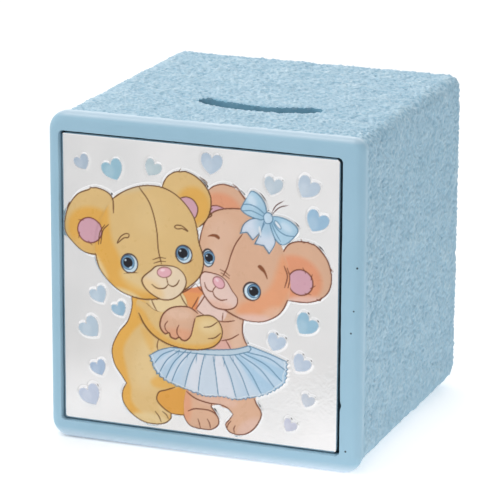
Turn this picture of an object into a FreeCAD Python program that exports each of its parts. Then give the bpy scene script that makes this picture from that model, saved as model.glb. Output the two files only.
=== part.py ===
"""A cube money box: a hollow resin casting with a coin slot, a glued base panel with a soft
stopper, and a pressed silver plaque taped into a pocket in the front.

Millimetres. X is to the right, Y to the back and Z up. The origin is under the middle of the
cube, on the surface that it stands on. Each node is written to parts/NODE.step.
"""

import FreeCAD, Part
import math
import os

V = FreeCAD.Vector
OUT = "parts"
TINY = 1e-4
THROUGH = 1.0  # how far a cutting tool runs past the face that it opens

# ---- The cube ----
WIDTH = 80.0
DEPTH = 75.0
HEIGHT = 81.5
LONG_EDGE_R = 4.4  # the four edges that run from front to back
FRONT_EDGE_R = 2.0
BACK_EDGE_R = 3.0
WALL = 6.0
FRONT_WALL = 7.5  # behind the bezel, pocket included
CAVITY_R = 3.0
FRONT_Y = -DEPTH / 2
BACK_Y = DEPTH / 2

# ---- The coin slot, bowed towards the front ----
SLOT_X = 4.8
SLOT_Y = -16.3  # where its middle line is nearest the front
SLOT_BEND_R = 28.6
SLOT_WIDTH = 5.4
SLOT_CHORD = 26.0  # between the centres of its round ends

# ---- The base panel and the stopper ----
LEDGE = 1.0
PANEL_THICK = 4.5
PANEL_RECESS = 0.4
GLUE_GAP = 0.05
HOLE_R = 16.0
SEAT_R = 19.2
SEAT_DEPTH = 2.2
FLANGE_R = 18.9
FLANGE_THICK = 1.6
PLUG_R = 15.7
RIB_R = 15.93
RIB_HEIGHT = 0.7
RIB_SPACE = 0.4
FLANGE_EDGE_R = 0.5
NECK_CHAMFER = 0.8
PLUG_TOP = 8.6
PLUG_SKIN = 1.8
GRIP_R = 11.0
GRIP_BAR = 4.0

# ---- The plaque in its pocket ----
POCKET_LEFT = -37.0
POCKET_RIGHT = 34.2
POCKET_LOW = 4.2
POCKET_HIGH = 76.6
POCKET_R = 1.2
PLAQUE_LEFT = -36.65
PLAQUE_RIGHT = 33.45
PLAQUE_LOW = 4.6
PLAQUE_HIGH = 75.95
PLAQUE_R = 1.0
PLAQUE_SET_BACK = 1.3  # from the bezel's face to the foil's face
FOIL = 0.3
BACKING = 1.2
TAPE = 0.8
TAPE_WIDTH = 9.0
TAPE_INSET = 5.0
TAPE_STRIPS = 4
FOIL_FACE_Y = FRONT_Y + PLAQUE_SET_BACK
BACKING_Y = FOIL_FACE_Y + FOIL
TAPE_Y = BACKING_Y + BACKING
POCKET_FLOOR_Y = TAPE_Y + TAPE

# ---- The raised picture on the plaque: heights above the foil ----
FIGURE_RISE = 1.1
SKIRT_RISE = 1.2
BOW_RISE = 1.2
HEART_RISE = 0.6

# Half of a heart one unit wide, as x and z of: notch, top of the lobe, shoulder, flank and tip.
HEART_HALF = [(0.0, 0.2), (0.26, 0.42), (0.5, 0.12), (0.31, -0.21), (0.0, -0.5)]

# Hearts: middle x and z, width, and tilt in degrees (positive leans left).
HEARTS = [
    (-31.2, 69.0, 3.8, 30),
    (-23.3, 67.9, 5.3, 25),
    (-13.2, 69.3, 4.2, -30),
    (1.7, 71.8, 5.2, -5),
    (17.1, 68.0, 4.4, -12),
    (25.6, 68.4, 5.2, -30),
    (27.9, 60.6, 5.3, -25),
    (-27.1, 36.8, 4.2, 30),
    (-21.8, 33.8, 3.6, 30),
    (-29.4, 28.3, 5.2, 45),
    (-27.3, 18.5, 4.0, 25),
    (-29.5, 11.3, 5.2, 30),
    (25.5, 35.4, 5.2, -35),
    (18.1, 30.2, 4.4, -20),
    (24.4, 25.7, 4.4, -35),
    (26.1, 16.8, 3.2, -20),
    (21.7, 10.1, 3.1, -30),
]

# Ellipses for a head and its two ears: middle x and z, half width, half height, and tilt in degrees.
LEFT_HEAD = [(-13.8, 51.2, 13.6, 14.0, 0), (-29.0, 55.0, 7.1, 8.3, 0), (-4.6, 62.4, 6.6, 7.0, 0)]
RIGHT_HEAD = [(10.0, 48.2, 14.2, 12.4, -38), (5.6, 61.4, 5.6, 6.0, 0), (25.3, 48.1, 6.5, 7.6, 0)]

# Outlines, as x and z of the points that a smooth closed curve runs through.
LEFT_BODY = [
    (-18.8, 38.5), (-20.2, 31.2), (-23.7, 24.5), (-20.2, 16.4), (-21.2, 12.2), (-13.0, 6.0),
    (-8.3, 8.6), (-5.0, 11.0), (-4.6, 20.0), (-5.0, 30.0), (-8.0, 40.5),
]
LEFT_ARM = [
    (-16.6, 33.6), (-12.4, 28.0), (-4.0, 25.9), (2.6, 27.3), (4.7, 31.0), (1.5, 34.9),
    (-4.0, 34.0), (-11.0, 35.0), (-15.5, 36.5),
]
RIGHT_HAND = [
    (-11.1, 31.8), (-8.6, 28.5), (-5.2, 28.1), (-2.5, 31.6), (-2.3, 35.0), (-6.0, 36.4), (-9.6, 34.9),
]
RIGHT_TORSO = [(0.5, 40.0), (-1.5, 33.0), (0.5, 24.0), (11.5, 24.0), (11.2, 28.4), (9.7, 31.5), (9.9, 39.0)]
RIGHT_LEGS = [
    (-5.3, 16.5), (-5.6, 11.0), (-3.4, 6.8), (1.0, 6.5), (3.8, 9.0), (2.2, 12.9), (7.4, 12.0),
    (5.5, 8.3), (7.2, 6.2), (11.6, 7.4), (14.6, 12.0), (13.0, 16.5), (4.0, 18.5),
]
SKIRT = [
    (-13.7, 23.9), (-13.0, 20.9), (-9.0, 17.6), (-3.0, 15.7), (4.5, 15.1), (12.0, 15.9),
    (18.0, 18.0), (20.8, 21.0), (20.6, 26.0), (11.4, 28.3), (3.0, 26.6), (-6.0, 26.2),
]
BOW = [
    (16.0, 61.4), (12.2, 66.2), (10.2, 64.4), (9.4, 61.6), (12.4, 59.4), (9.6, 56.2), (12.8, 55.0),
    (16.2, 52.0), (18.2, 54.4), (21.2, 55.2), (23.4, 58.4), (20.4, 60.6),
]


def at_foil(x, z):
    """A point on the plane of the foil's front."""
    return V(x, FOIL_FACE_Y, z)


def smooth_face(outline):
    """The face inside a smooth closed curve through the outline's points."""
    curve = Part.BSplineCurve()
    curve.interpolate([at_foil(x, z) for x, z in outline], True)
    return Part.Face(Part.Wire([curve.toShape()]))


def ellipse_face(x, z, half_wide, half_tall, tilt):
    """An upright ellipse on the foil, turned anticlockwise by tilt degrees."""
    round_edge = Part.Circle(V(0, 0, 0), V(0, -1, 0), 1.0).toShape()
    grown = round_edge.toNurbs()
    matrix = FreeCAD.Matrix()
    matrix.scale(half_wide, 1.0, half_tall)
    grown = grown.transformGeometry(matrix)
    grown.rotate(V(0, 0, 0), V(0, -1, 0), tilt)
    grown.translate(at_foil(x, z))
    return Part.Face(Part.Wire(grown.Edges))


def heart_face(x, z, width, tilt):
    """A heart of four arcs: two lobes from the notch, and two sides that meet at the tip."""
    edges = []
    for side in (-1, 1):
        notch, lobe_top, shoulder, flank, tip = [V(side * hx, 0, hz) for hx, hz in HEART_HALF]
        edges.append(Part.Arc(notch, lobe_top, shoulder).toShape())
        edges.append(Part.Arc(shoulder, flank, tip).toShape())
    wire = Part.Wire(Part.__sortEdges__(edges))
    wire.scale(width, V(0, 0, 0))
    wire.rotate(V(0, 0, 0), V(0, -1, 0), tilt)
    wire.translate(at_foil(x, z))
    return Part.Face(wire)


def raised(face, rise):
    """Separate solids standing on the foil over each piece of the face."""
    return [f.extrude(V(0, -rise, 0)) for f in face.Faces]


def fused(shapes):
    return shapes[0].multiFuse(shapes[1:]).removeSplitter()


def plate(x0, x1, y0, y1, z0, z1, corner_r, corner_axis):
    """A box whose four edges along corner_axis are rounded."""
    box = Part.makeBox(x1 - x0, y1 - y0, z1 - z0, V(x0, y0, z0))
    return box.makeFillet(corner_r, edges_along(box, corner_axis))


def edges_along(shape, axis):
    """The straight edges of a shape that run along axis."""
    found = []
    for edge in shape.Edges:
        ends = edge.Vertexes
        if len(ends) == 2:
            run = ends[1].Point.sub(ends[0].Point)
            if abs(abs(run.dot(axis)) - run.Length) < TINY:
                found.append(edge)
    return found


def edges_in_plane(shape, y):
    """The edges of a shape that lie wholly at that y."""
    return [e for e in shape.Edges if abs(e.BoundBox.YMin - y) < TINY and abs(e.BoundBox.YMax - y) < TINY]


def cylinder(r, z0, z1):
    return Part.makeCylinder(r, z1 - z0, V(0, 0, z0))


def slot_solid(z0, z1):
    """The bowed slot with round ends, as a solid to cut out of the roof."""
    centre = V(SLOT_X, SLOT_Y + SLOT_BEND_R, z0)
    half_angle = math.asin(SLOT_CHORD / 2 / SLOT_BEND_R)
    half_width = SLOT_WIDTH / 2

    def at(radius, angle):
        return centre.add(V(radius * math.sin(angle), -radius * math.cos(angle), 0))

    def arc(radius, a, b):
        return Part.Arc(at(radius, a), at(radius, (a + b) / 2), at(radius, b)).toShape()

    def round_end(angle, side):
        outer, inner = at(SLOT_BEND_R + half_width, angle), at(SLOT_BEND_R - half_width, angle)
        along = V(math.cos(angle), math.sin(angle), 0)
        tip = at(SLOT_BEND_R, angle).add(along.multiply(side * half_width))
        return Part.Arc(outer, tip, inner).toShape()

    edges = [
        arc(SLOT_BEND_R + half_width, -half_angle, half_angle),
        round_end(half_angle, 1),
        arc(SLOT_BEND_R - half_width, half_angle, -half_angle),
        round_end(-half_angle, -1),
    ]
    wire = Part.Wire(Part.__sortEdges__(edges))
    return Part.Face(wire).extrude(V(0, 0, z1 - z0))


def make_cube_shell():
    """Five walls in one casting, open below, with the slot, the pocket and a ledge for the panel."""
    block = Part.makeBox(WIDTH, DEPTH, HEIGHT, V(-WIDTH / 2, FRONT_Y, 0))
    block = block.makeFillet(LONG_EDGE_R, edges_along(block, V(0, 1, 0)))
    block = block.makeFillet(FRONT_EDGE_R, edges_in_plane(block, FRONT_Y))
    block = block.makeFillet(BACK_EDGE_R, edges_in_plane(block, BACK_Y))
    half = WIDTH / 2 - WALL
    cavity_front, cavity_back = FRONT_Y + FRONT_WALL, BACK_Y - WALL
    cavity = plate(-half, half, cavity_front, cavity_back, -THROUGH, HEIGHT - WALL, CAVITY_R, V(0, 0, 1))
    rebate = plate(
        -half - LEDGE, half + LEDGE, cavity_front - LEDGE, cavity_back + LEDGE,
        -THROUGH, PANEL_RECESS + PANEL_THICK, CAVITY_R, V(0, 0, 1),
    )
    pocket = plate(
        POCKET_LEFT, POCKET_RIGHT, FRONT_Y - THROUGH, POCKET_FLOOR_Y, POCKET_LOW, POCKET_HIGH,
        POCKET_R, V(0, 1, 0),
    )
    slot = slot_solid(HEIGHT - WALL - THROUGH, HEIGHT + THROUGH)
    return block.cut(cavity).cut(rebate).cut(pocket).cut(slot)


def make_base_panel():
    """The plate that closes the casting, with a stepped hole for the stopper."""
    half = WIDTH / 2 - WALL + LEDGE - GLUE_GAP
    low, high = PANEL_RECESS, PANEL_RECESS + PANEL_THICK
    front, back = FRONT_Y + FRONT_WALL - LEDGE + GLUE_GAP, BACK_Y - WALL + LEDGE - GLUE_GAP
    panel = plate(-half, half, front, back, low, high, CAVITY_R - GLUE_GAP, V(0, 0, 1))
    hole = cylinder(HOLE_R, low - THROUGH, high + THROUGH)
    seat = cylinder(SEAT_R, low - THROUGH, low + SEAT_DEPTH)
    return panel.cut(hole).cut(seat)


def make_stopper():
    """A soft plug: flange, ribbed neck, and two finger hollows either side of a bar."""
    seat_top = PANEL_RECESS + SEAT_DEPTH
    flange_low = seat_top - FLANGE_THICK
    flange = cylinder(FLANGE_R, flange_low, seat_top)
    lower_edges = [e for e in flange.Edges if e.BoundBox.ZMax < seat_top - TINY]
    flange = flange.makeFillet(FLANGE_EDGE_R, lower_edges)
    neck = cylinder(PLUG_R, seat_top, PLUG_TOP)
    neck = neck.makeChamfer(NECK_CHAMFER, [e for e in neck.Edges if e.BoundBox.ZMin > PLUG_TOP - TINY])
    hole_top = PANEL_RECESS + PANEL_THICK
    rib_lows = (seat_top + RIB_SPACE, hole_top - RIB_HEIGHT - RIB_SPACE, hole_top + RIB_SPACE)
    ribs = [cylinder(RIB_R, low, low + RIB_HEIGHT) for low in rib_lows]
    hollow = cylinder(GRIP_R, flange_low - THROUGH, PLUG_TOP - PLUG_SKIN)
    bar = Part.makeBox(GRIP_BAR, 2 * GRIP_R, PLUG_TOP, V(-GRIP_BAR / 2, -GRIP_R, 0))
    return fused([flange, neck] + ribs).cut(hollow.cut(bar))


def make_plaque_foil():
    """The pressed silver sheet, with its rim folded back over the edges of the backing board."""
    sheet = plate(
        PLAQUE_LEFT, PLAQUE_RIGHT, FOIL_FACE_Y, TAPE_Y, PLAQUE_LOW, PLAQUE_HIGH, PLAQUE_R, V(0, 1, 0),
    )
    return sheet.cut(make_plaque_backing())


def make_plaque_backing():
    """The rigid board inside the foil's folded rim."""
    return plate(
        PLAQUE_LEFT + FOIL, PLAQUE_RIGHT - FOIL, BACKING_Y, TAPE_Y,
        PLAQUE_LOW + FOIL, PLAQUE_HIGH - FOIL, PLAQUE_R - FOIL, V(0, 1, 0),
    )


def make_plaque_tape():
    """Upright strips of foam tape between the board and the pocket's floor."""
    low, high = PLAQUE_LOW + TAPE_INSET, PLAQUE_HIGH - TAPE_INSET
    first = PLAQUE_LEFT + TAPE_INSET
    last = PLAQUE_RIGHT - TAPE_INSET - TAPE_WIDTH
    strips = []
    for i in range(TAPE_STRIPS):
        x = first + (last - first) * i / (TAPE_STRIPS - 1)
        strips.append(Part.makeBox(TAPE_WIDTH, TAPE, high - low, V(x, TAPE_Y, low)))
    return strips


def make_picture():
    """The raised parts of the foil, cut so that each lies beside its neighbours."""
    left_head = fused([ellipse_face(*ellipse) for ellipse in LEFT_HEAD])
    right_head = fused([ellipse_face(*ellipse) for ellipse in RIGHT_HEAD])
    hand = smooth_face(RIGHT_HAND)
    left_front = fused([smooth_face(LEFT_ARM), left_head]).cut(hand)
    bow = smooth_face(BOW).cut(left_front)
    skirt = smooth_face(SKIRT).cut(left_front)
    right_bear = fused([right_head, smooth_face(RIGHT_TORSO), smooth_face(RIGHT_LEGS)])
    right_bear = right_bear.cut(left_front).cut(skirt).cut(bow).cut(hand)
    left_body = smooth_face(LEFT_BODY).cut(skirt).cut(right_bear).cut(hand)
    left_bear = fused([left_front, left_body])
    hearts = [heart_face(*heart) for heart in HEARTS]
    return {
        "left_bear_relief": raised(left_bear, FIGURE_RISE),
        "right_bear_relief": raised(right_bear, FIGURE_RISE) + raised(hand, FIGURE_RISE),
        "skirt_relief": raised(skirt, SKIRT_RISE),
        "bow_relief": raised(bow, BOW_RISE),
        "heart_reliefs": [solid for heart in hearts for solid in raised(heart, HEART_RISE)],
    }


def write(name, shapes):
    """Writes one node, and prints its solids and volume."""
    shape = Part.makeCompound(shapes) if len(shapes) > 1 else shapes[0]
    shape.exportStep(os.path.join(OUT, name + ".step"))
    volume = sum(solid.Volume for solid in shape.Solids)
    print(f"{name}: {len(shape.Solids)} solids, {volume:.1f} mm3, valid {shape.isValid()}")


def main():
    os.makedirs(OUT, exist_ok=True)
    nodes = {
        "cube_shell": [make_cube_shell()],
        "base_panel": [make_base_panel()],
        "stopper": [make_stopper()],
        "plaque_foil": [make_plaque_foil()],
        "plaque_backing": [make_plaque_backing()],
        "plaque_tape": make_plaque_tape(),
    }
    nodes.update(make_picture())
    for name, shapes in nodes.items():
        write(name, shapes)


main()
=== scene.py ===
"""The cube money box: looks, studio and camera.

Shapes are worked out in millimetres and turned into metres when a mesh is made. The cube's rough
skin, its front frame and pocket, the pressed silver plaque and its printed figures are built here.
Their sizes come from the frame wherever it holds them.
"""

import math

import bmesh
import bpy
import numpy as np
from mathutils import Euler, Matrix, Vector, noise


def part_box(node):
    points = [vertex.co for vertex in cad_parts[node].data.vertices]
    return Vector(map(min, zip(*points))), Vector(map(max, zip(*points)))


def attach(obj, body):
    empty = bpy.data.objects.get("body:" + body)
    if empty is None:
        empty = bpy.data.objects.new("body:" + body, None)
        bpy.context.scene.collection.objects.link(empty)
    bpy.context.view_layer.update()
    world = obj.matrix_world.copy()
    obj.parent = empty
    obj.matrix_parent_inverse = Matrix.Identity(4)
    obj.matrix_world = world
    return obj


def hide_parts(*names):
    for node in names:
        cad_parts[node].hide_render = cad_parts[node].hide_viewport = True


MM = 0.001
# The noise's offsets are drawn from this seed, so that every run gives the same surface.
NOISE_SEED = 7
SEED_SHIFT = Vector((31.7, 12.9, 7.3))


def box_mm(node):
    low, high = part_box(node)
    return np.array(low) / MM, np.array(high) / MM


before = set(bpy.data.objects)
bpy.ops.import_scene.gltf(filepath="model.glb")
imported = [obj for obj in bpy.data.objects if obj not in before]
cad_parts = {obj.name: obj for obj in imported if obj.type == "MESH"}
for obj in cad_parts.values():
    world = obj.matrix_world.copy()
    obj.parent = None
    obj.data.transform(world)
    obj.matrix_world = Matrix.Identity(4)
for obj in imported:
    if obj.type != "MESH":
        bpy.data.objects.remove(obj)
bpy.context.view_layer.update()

SHELL_LOW, SHELL_HIGH = box_mm("cube_shell")
FOIL_LOW, FOIL_HIGH = box_mm("plaque_foil")
BOARD_LOW, BOARD_HIGH = box_mm("plaque_backing")
PANEL_TOP = box_mm("base_panel")[1][2]

# ---- The cube as in part.py, with a pocket that differs from it by up to 0.3 mm ----
FRONT_Y, BACK_Y = SHELL_LOW[1], SHELL_HIGH[1]
HEIGHT = SHELL_HIGH[2]
LONG_EDGE_R = 4.4
FRONT_EDGE_R = 2.0
BACK_EDGE_R = 3.0
WALL = 6.0
FRONT_WALL = 7.5
LEDGE = 1.0
CAVITY_R = 3.0

SLOT_X = 4.8
SLOT_Y = -16.3
SLOT_BEND_R = 28.6
SLOT_WIDTH = 5.4
SLOT_CHORD = 26.0
SLOT_LIP = 0.9
SLOT_LIP_DROP = 0.3
TOP_DEPTH = 3.0

POCKET_LEFT, POCKET_RIGHT = -36.82, 34.5
POCKET_LOW, POCKET_HIGH = 4.4, 76.6
POCKET_R = 1.2
POCKET_LIP = 0.12
POCKET_WAVE = 0.06
POCKET_FLOOR_Y = box_mm("plaque_tape")[1][1]
# A small nick in the pocket's right edge: how high up, how tall and how deep.
NICK_Z, NICK_TALL, NICK_DEEP = 17.0, 0.7, 0.3

# ---- The coating, and the smooth frame that stands a little lower than it ----
COAT_SINK = 0.4
FRAME_SINK_TOP = 0.3
FRAME_SINK_RIGHT = 0.45
FRAME_SINK_LEFT = 0.3
COAT_START = 2.6
COAT_RAMP = 0.9
# Long edges, lower right, upper right, upper left and lower left: the coated body's are rounder.
FRAME_EDGES = np.array([4.7, 3.0, 4.8, 4.4])
COAT_EDGES = np.array([6.8, 3.4, 6.8, 6.8])
COAT_EDGE_RUN = 3.0
# The stucco's layers: size of grain and height of each.
LUMP_GRAIN, LUMP_HEIGHT = 0.74, 0.33
RIDGE_GRAIN, RIDGE_HEIGHT = 0.9, 0.25
GRIT_GRAIN, GRIT_HEIGHT = 0.42, 0.07
BROAD_GRAIN, BROAD_HEIGHT = 5.0, 0.26
WARP_GRAIN, WARP_REACH = 1.9, 0.6

# ---- Mesh spacing ----
SKIN_STEP = 0.3
FOIL_STEP = 0.17
WELD = 0.001

# ---- Relief heights above the flat foil ----
FOIL_CORNER = 1.4
FOIL_TURN_R = 0.45
FIGURE_EDGE = 0.34
FIGURE_PUFF = 0.34
HEART_PUFF = 0.14
HALO = 0.1
HALO_SLOPE = 0.45
# The share of its height that the relief has at the plaque's rim, and where it rises to the full.
RIM_SHARE = 0.45
RIM_RISE = (1.0, 6.0)
INK = 0.02
INK_THICK = 0.05
GROOVE_WIDE = 0.3
# The foil's long dents: height, turns along x and z, and start.
DENTS = [(0.012, 0.31, 0.17, 0.6), (0.010, 0.13, -0.36, 2.1)]
# Its crinkles lie below two slanting lines: slope of each, and where they begin and are full.
CRINKLE = 0.045
CRINKLE_SLOPE_RIGHT, CRINKLE_RIGHT = 0.6, (-16, 2)
CRINKLE_SLOPE_LEFT, CRINKLE_LEFT = 0.5, (-14, -6)
CRINKLE_LEFT_FROM = -36

# The printed lines' usual width, and the softness of their edges.
OUTLINE = 0.33
PRINT_SOFT = 0.09


# ======================================================================================
# Meshes
# ======================================================================================

def mesh_object(name, points_mm, faces, smooth=True):
    """An object from points in millimetres and faces as lists of point numbers."""
    mesh = bpy.data.meshes.new(name)
    mesh.from_pydata((np.asarray(points_mm, float) * MM).tolist(), [], faces)
    mesh.validate()
    if smooth:
        mesh.shade_smooth()
    thing = bpy.data.objects.new(name, mesh)
    bpy.context.scene.collection.objects.link(thing)
    return thing


def outward(thing):
    """Joins points in the same place, and turns every face of a closed mesh outward."""
    work = bmesh.new()
    work.from_mesh(thing.data)
    bmesh.ops.remove_doubles(work, verts=work.verts, dist=WELD * MM)
    bmesh.ops.recalc_face_normals(work, faces=work.faces)
    work.to_mesh(thing.data)
    work.free()


def ring_faces(rows, count):
    """Quads between neighbouring closed rings of count points each."""
    quads = []
    for row in range(rows - 1):
        first, second = row * count, (row + 1) * count
        for k in range(count):
            nxt = (k + 1) % count
            quads.append((first + k, first + nxt, second + nxt, second + k))
    return quads


def apply_modifiers(thing):
    """Makes the modifiers' result the object's own mesh."""
    graph = bpy.context.evaluated_depsgraph_get()
    made = bpy.data.meshes.new_from_object(thing.evaluated_get(graph))
    thing.modifiers.clear()
    thing.data = made


def cut(thing, cutter):
    """Cuts one closed mesh out of another, and removes the cutter."""
    tool = thing.modifiers.new("cut", "BOOLEAN")
    tool.operation = "DIFFERENCE"
    tool.solver = "MANIFOLD"
    tool.object = cutter
    apply_modifiers(thing)
    bpy.data.objects.remove(cutter)


def rounded_loop(x0, x1, z0, z1, radii, across, up, arc):
    """A closed rounded rectangle: points and outward normals, anticlockwise from the lower right.

    radii is one radius, or one for each corner. across, up and arc are the steps along a
    horizontal side, an upright side and a corner.
    """
    radii = np.broadcast_to(radii, 4)
    corners = [(x1 - radii[0], z0 + radii[0]), (x1 - radii[1], z1 - radii[1]),
               (x0 + radii[2], z1 - radii[2]), (x0 + radii[3], z0 + radii[3])]
    points, normals = [], []
    for turn, (cx, cz) in enumerate(corners):
        radius = radii[turn]
        first = math.radians(90 * turn - 90)
        for k in range(arc + 1):
            angle = first + math.radians(90) * k / arc
            normal = (math.cos(angle), math.sin(angle))
            points.append((cx + radius * normal[0], cz + radius * normal[1]))
            normals.append(normal)
        start = np.array(points[-1])
        following = (turn + 1) % 4
        end = np.array(corners[following]) + radii[following] * np.array(normals[-1])
        steps = up if turn % 2 == 0 else across
        for k in range(1, steps):
            points.append(tuple(start + (end - start) * k / steps))
            normals.append(normals[-1])
    return np.array(points), np.array(normals)


def prism(name, edge, low, high, steps, wobble=0.0):
    """A closed upright prism over an edge line in x and y, its walls uneven by wobble."""
    edge = np.asarray(edge)
    count = len(edge)
    middle = edge.mean(axis=0)
    rows = []
    for z in np.linspace(low, high, steps + 1):
        ring = np.column_stack([edge, np.full(count, z)])
        if wobble:
            for k in range(count):
                away = ring[k, :2] - middle
                away /= np.linalg.norm(away)
                ring[k, :2] += away * wobble * noise.noise(Vector(ring[k]) / 1.5 + SEED_SHIFT)
        rows.append(ring)
    faces = ring_faces(steps + 1, count)
    faces.append(tuple(range(count)))
    faces.append(tuple(range(steps * count, (steps + 1) * count)))
    thing = mesh_object(name, np.vstack(rows), faces)
    outward(thing)
    return thing


# ======================================================================================
# Curves and distances on the plaque, in x and z
# ======================================================================================

def smooth_curve(points, closed=False, steps=6):
    """A Catmull-Rom curve through points, as an array of many points."""
    p = np.asarray(points, float)
    if len(p) < 3:
        return p
    if closed:
        p = np.vstack([p[-1], p, p[0], p[1]])
    else:
        p = np.vstack([2 * p[0] - p[1], p, 2 * p[-1] - p[-2]])
    t = np.linspace(0, 1, steps, endpoint=False)[:, None]
    parts = []
    for a, b, c, d in zip(p, p[1:], p[2:], p[3:]):
        parts.append(0.5 * (2 * b + (c - a) * t + (2 * a - 5 * b + 4 * c - d) * t**2
                            + (3 * b - a - 3 * c + d) * t**3))
    if not closed:
        parts.append(p[-2:-1])
    return np.vstack(parts)


def outline(*stretches):
    """A closed outline: each stretch is smooth, and stretches meet at corners."""
    if len(stretches) == 1:
        return smooth_curve(stretches[0], closed=True)
    return np.vstack([smooth_curve(stretch) for stretch in stretches])


def oval(x, z, half_wide, half_tall, tilt=0.0, count=40):
    """An ellipse, turned anticlockwise by tilt degrees."""
    angle = np.linspace(0, 2 * math.pi, count, endpoint=False)
    shape = np.column_stack([half_wide * np.cos(angle), half_tall * np.sin(angle)])
    return turned(shape, x, z, tilt)


def nearest_on(px, pz, line, closed):
    """Distance from each point to a line of many points, and the step to the nearest place on it."""
    ends = np.vstack([line, line[:1]]) if closed else line
    best = np.full(px.shape, np.inf)
    step_x, step_z = np.zeros(px.shape), np.zeros(px.shape)
    for (ax, az), (bx, bz) in zip(ends, ends[1:]):
        run_x, run_z = bx - ax, bz - az
        size = run_x * run_x + run_z * run_z
        if size == 0:
            continue
        t = np.clip(((px - ax) * run_x + (pz - az) * run_z) / size, 0, 1)
        dx, dz = ax + t * run_x - px, az + t * run_z - pz
        apart = dx * dx + dz * dz
        closer = apart < best
        best = np.where(closer, apart, best)
        step_x = np.where(closer, dx, step_x)
        step_z = np.where(closer, dz, step_z)
    return np.sqrt(best), step_x, step_z


def is_inside(px, pz, shape):
    """Which points lie inside a closed outline."""
    inside = np.zeros(px.shape, bool)
    for (ax, az), (bx, bz) in zip(shape, np.roll(shape, -1, axis=0)):
        if az == bz:
            continue
        crosses = (az > pz) != (bz > pz)
        inside ^= crosses & (px < (bx - ax) * (pz - az) / (bz - az) + ax)
    return inside


def signed_distance(px, pz, shape):
    """Distance from each point to a closed outline, negative inside it."""
    apart = nearest_on(px, pz, shape, True)[0]
    return np.where(is_inside(px, pz, shape), -apart, apart)


def turned(shape, x, z, tilt):
    """A shape turned anticlockwise by tilt degrees about its origin, and moved to x and z."""
    turn = math.radians(tilt)
    return np.column_stack([x + shape[:, 0] * math.cos(turn) - shape[:, 1] * math.sin(turn),
                            z + shape[:, 0] * math.sin(turn) + shape[:, 1] * math.cos(turn)])


def ramp(value, low, high):
    """0 below low, 1 above high, and a smooth rise between."""
    t = np.clip((value - low) / (high - low), 0, 1)
    return t * t * (3 - 2 * t)


def near(px, pz, shape, margin):
    """The numbers of the points within the shape's box and a margin."""
    low, high = shape.min(axis=0) - margin, shape.max(axis=0) + margin
    return np.nonzero((px > low[0]) & (px < high[0]) & (pz > low[1]) & (pz < high[1]))[0]


# ======================================================================================
# The picture: every shape in millimetres on the plaque, back to front
# ======================================================================================

HONEY = (217, 184, 126)
HONEY_LIGHT = (226, 202, 154)
HONEY_GREY = (202, 187, 158)
HONEY_SHADE = (222, 168, 78)
HONEY_LINE = (104, 68, 38)
TAN = (214, 172, 144)
TAN_LIGHT = (226, 194, 174)
# A pale tan used as a painted highlight on the relief's lower rims.
TAN_SHEEN = (226, 192, 182)
TAN_SHADE = (221, 148, 112)
TAN_LINE = (112, 62, 42)
PINK = (206, 160, 174)
NOSE_PINK = (224, 172, 182)
CREAM = (228, 208, 180)
CREAM_TAN = (226, 198, 188)
SKY = (172, 205, 226)
SKY_LIGHT = (206, 218, 233)
SKY_DEEP = (143, 186, 212)
SKY_LINE = (92, 132, 162)
LACE = (196, 210, 225)
SILVER = (238, 239, 241)

# The right half of a heart one unit wide, from its notch to its tip.
HEART_HALF = [(0.0, 0.24), (0.09, 0.38), (0.27, 0.45), (0.45, 0.36), (0.5, 0.13), (0.42, -0.11),
              (0.22, -0.33), (0.0, -0.48)]
# Each heart: middle x and z, width, tilt, how high its edge stands, colour.
HEARTS = [
    (-31.2, 69.0, 3.9, 30, 0.10, (172, 188, 205)),
    (-23.3, 67.9, 5.4, 25, 0.10, (150, 189, 207)),
    (-13.2, 69.3, 4.3, -30, 0.10, (183, 200, 207)),
    (1.7, 71.8, 5.4, -5, 0.17, (183, 200, 217)),
    (17.1, 68.0, 4.6, -12, 0.24, (186, 201, 213)),
    (25.6, 68.4, 5.5, -30, 0.24, (186, 202, 218)),
    (27.9, 60.6, 5.5, -25, 0.24, (154, 188, 214)),
    (-27.1, 36.8, 4.4, 30, 0.22, (180, 199, 215)),
    (-21.8, 33.8, 3.8, 30, 0.22, (150, 183, 206)),
    (-29.4, 28.3, 5.4, 45, 0.26, (180, 198, 213)),
    (-27.3, 18.5, 4.1, 25, 0.24, (165, 185, 210)),
    (-29.5, 11.3, 5.5, 30, 0.28, (191, 201, 220)),
    (25.5, 35.4, 5.5, -35, 0.28, (149, 187, 209)),
    (18.1, 30.2, 4.6, -20, 0.28, (184, 200, 218)),
    (24.4, 25.7, 4.6, -35, 0.28, (184, 198, 216)),
    (26.1, 16.8, 3.4, -20, 0.26, (191, 199, 211)),
    (21.7, 10.1, 3.4, -30, 0.26, (194, 197, 214)),
]


def heart(x, z, width, tilt):
    """A heart's outline: two mirrored lobes, a notch and a tip."""
    half = np.array(HEART_HALF)
    right = smooth_curve(half[::-1])
    left = smooth_curve(half * (-1, 1))
    return turned(np.vstack([right, left[1:-1]]) * width, x, z, tilt)


def to_rim(x, z):
    """Distance from points on the plaque to its nearest side."""
    return np.minimum.reduce([x - FOIL_LOW[0], FOIL_HIGH[0] - x, z - FOIL_LOW[2], FOIL_HIGH[2] - z])


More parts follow.
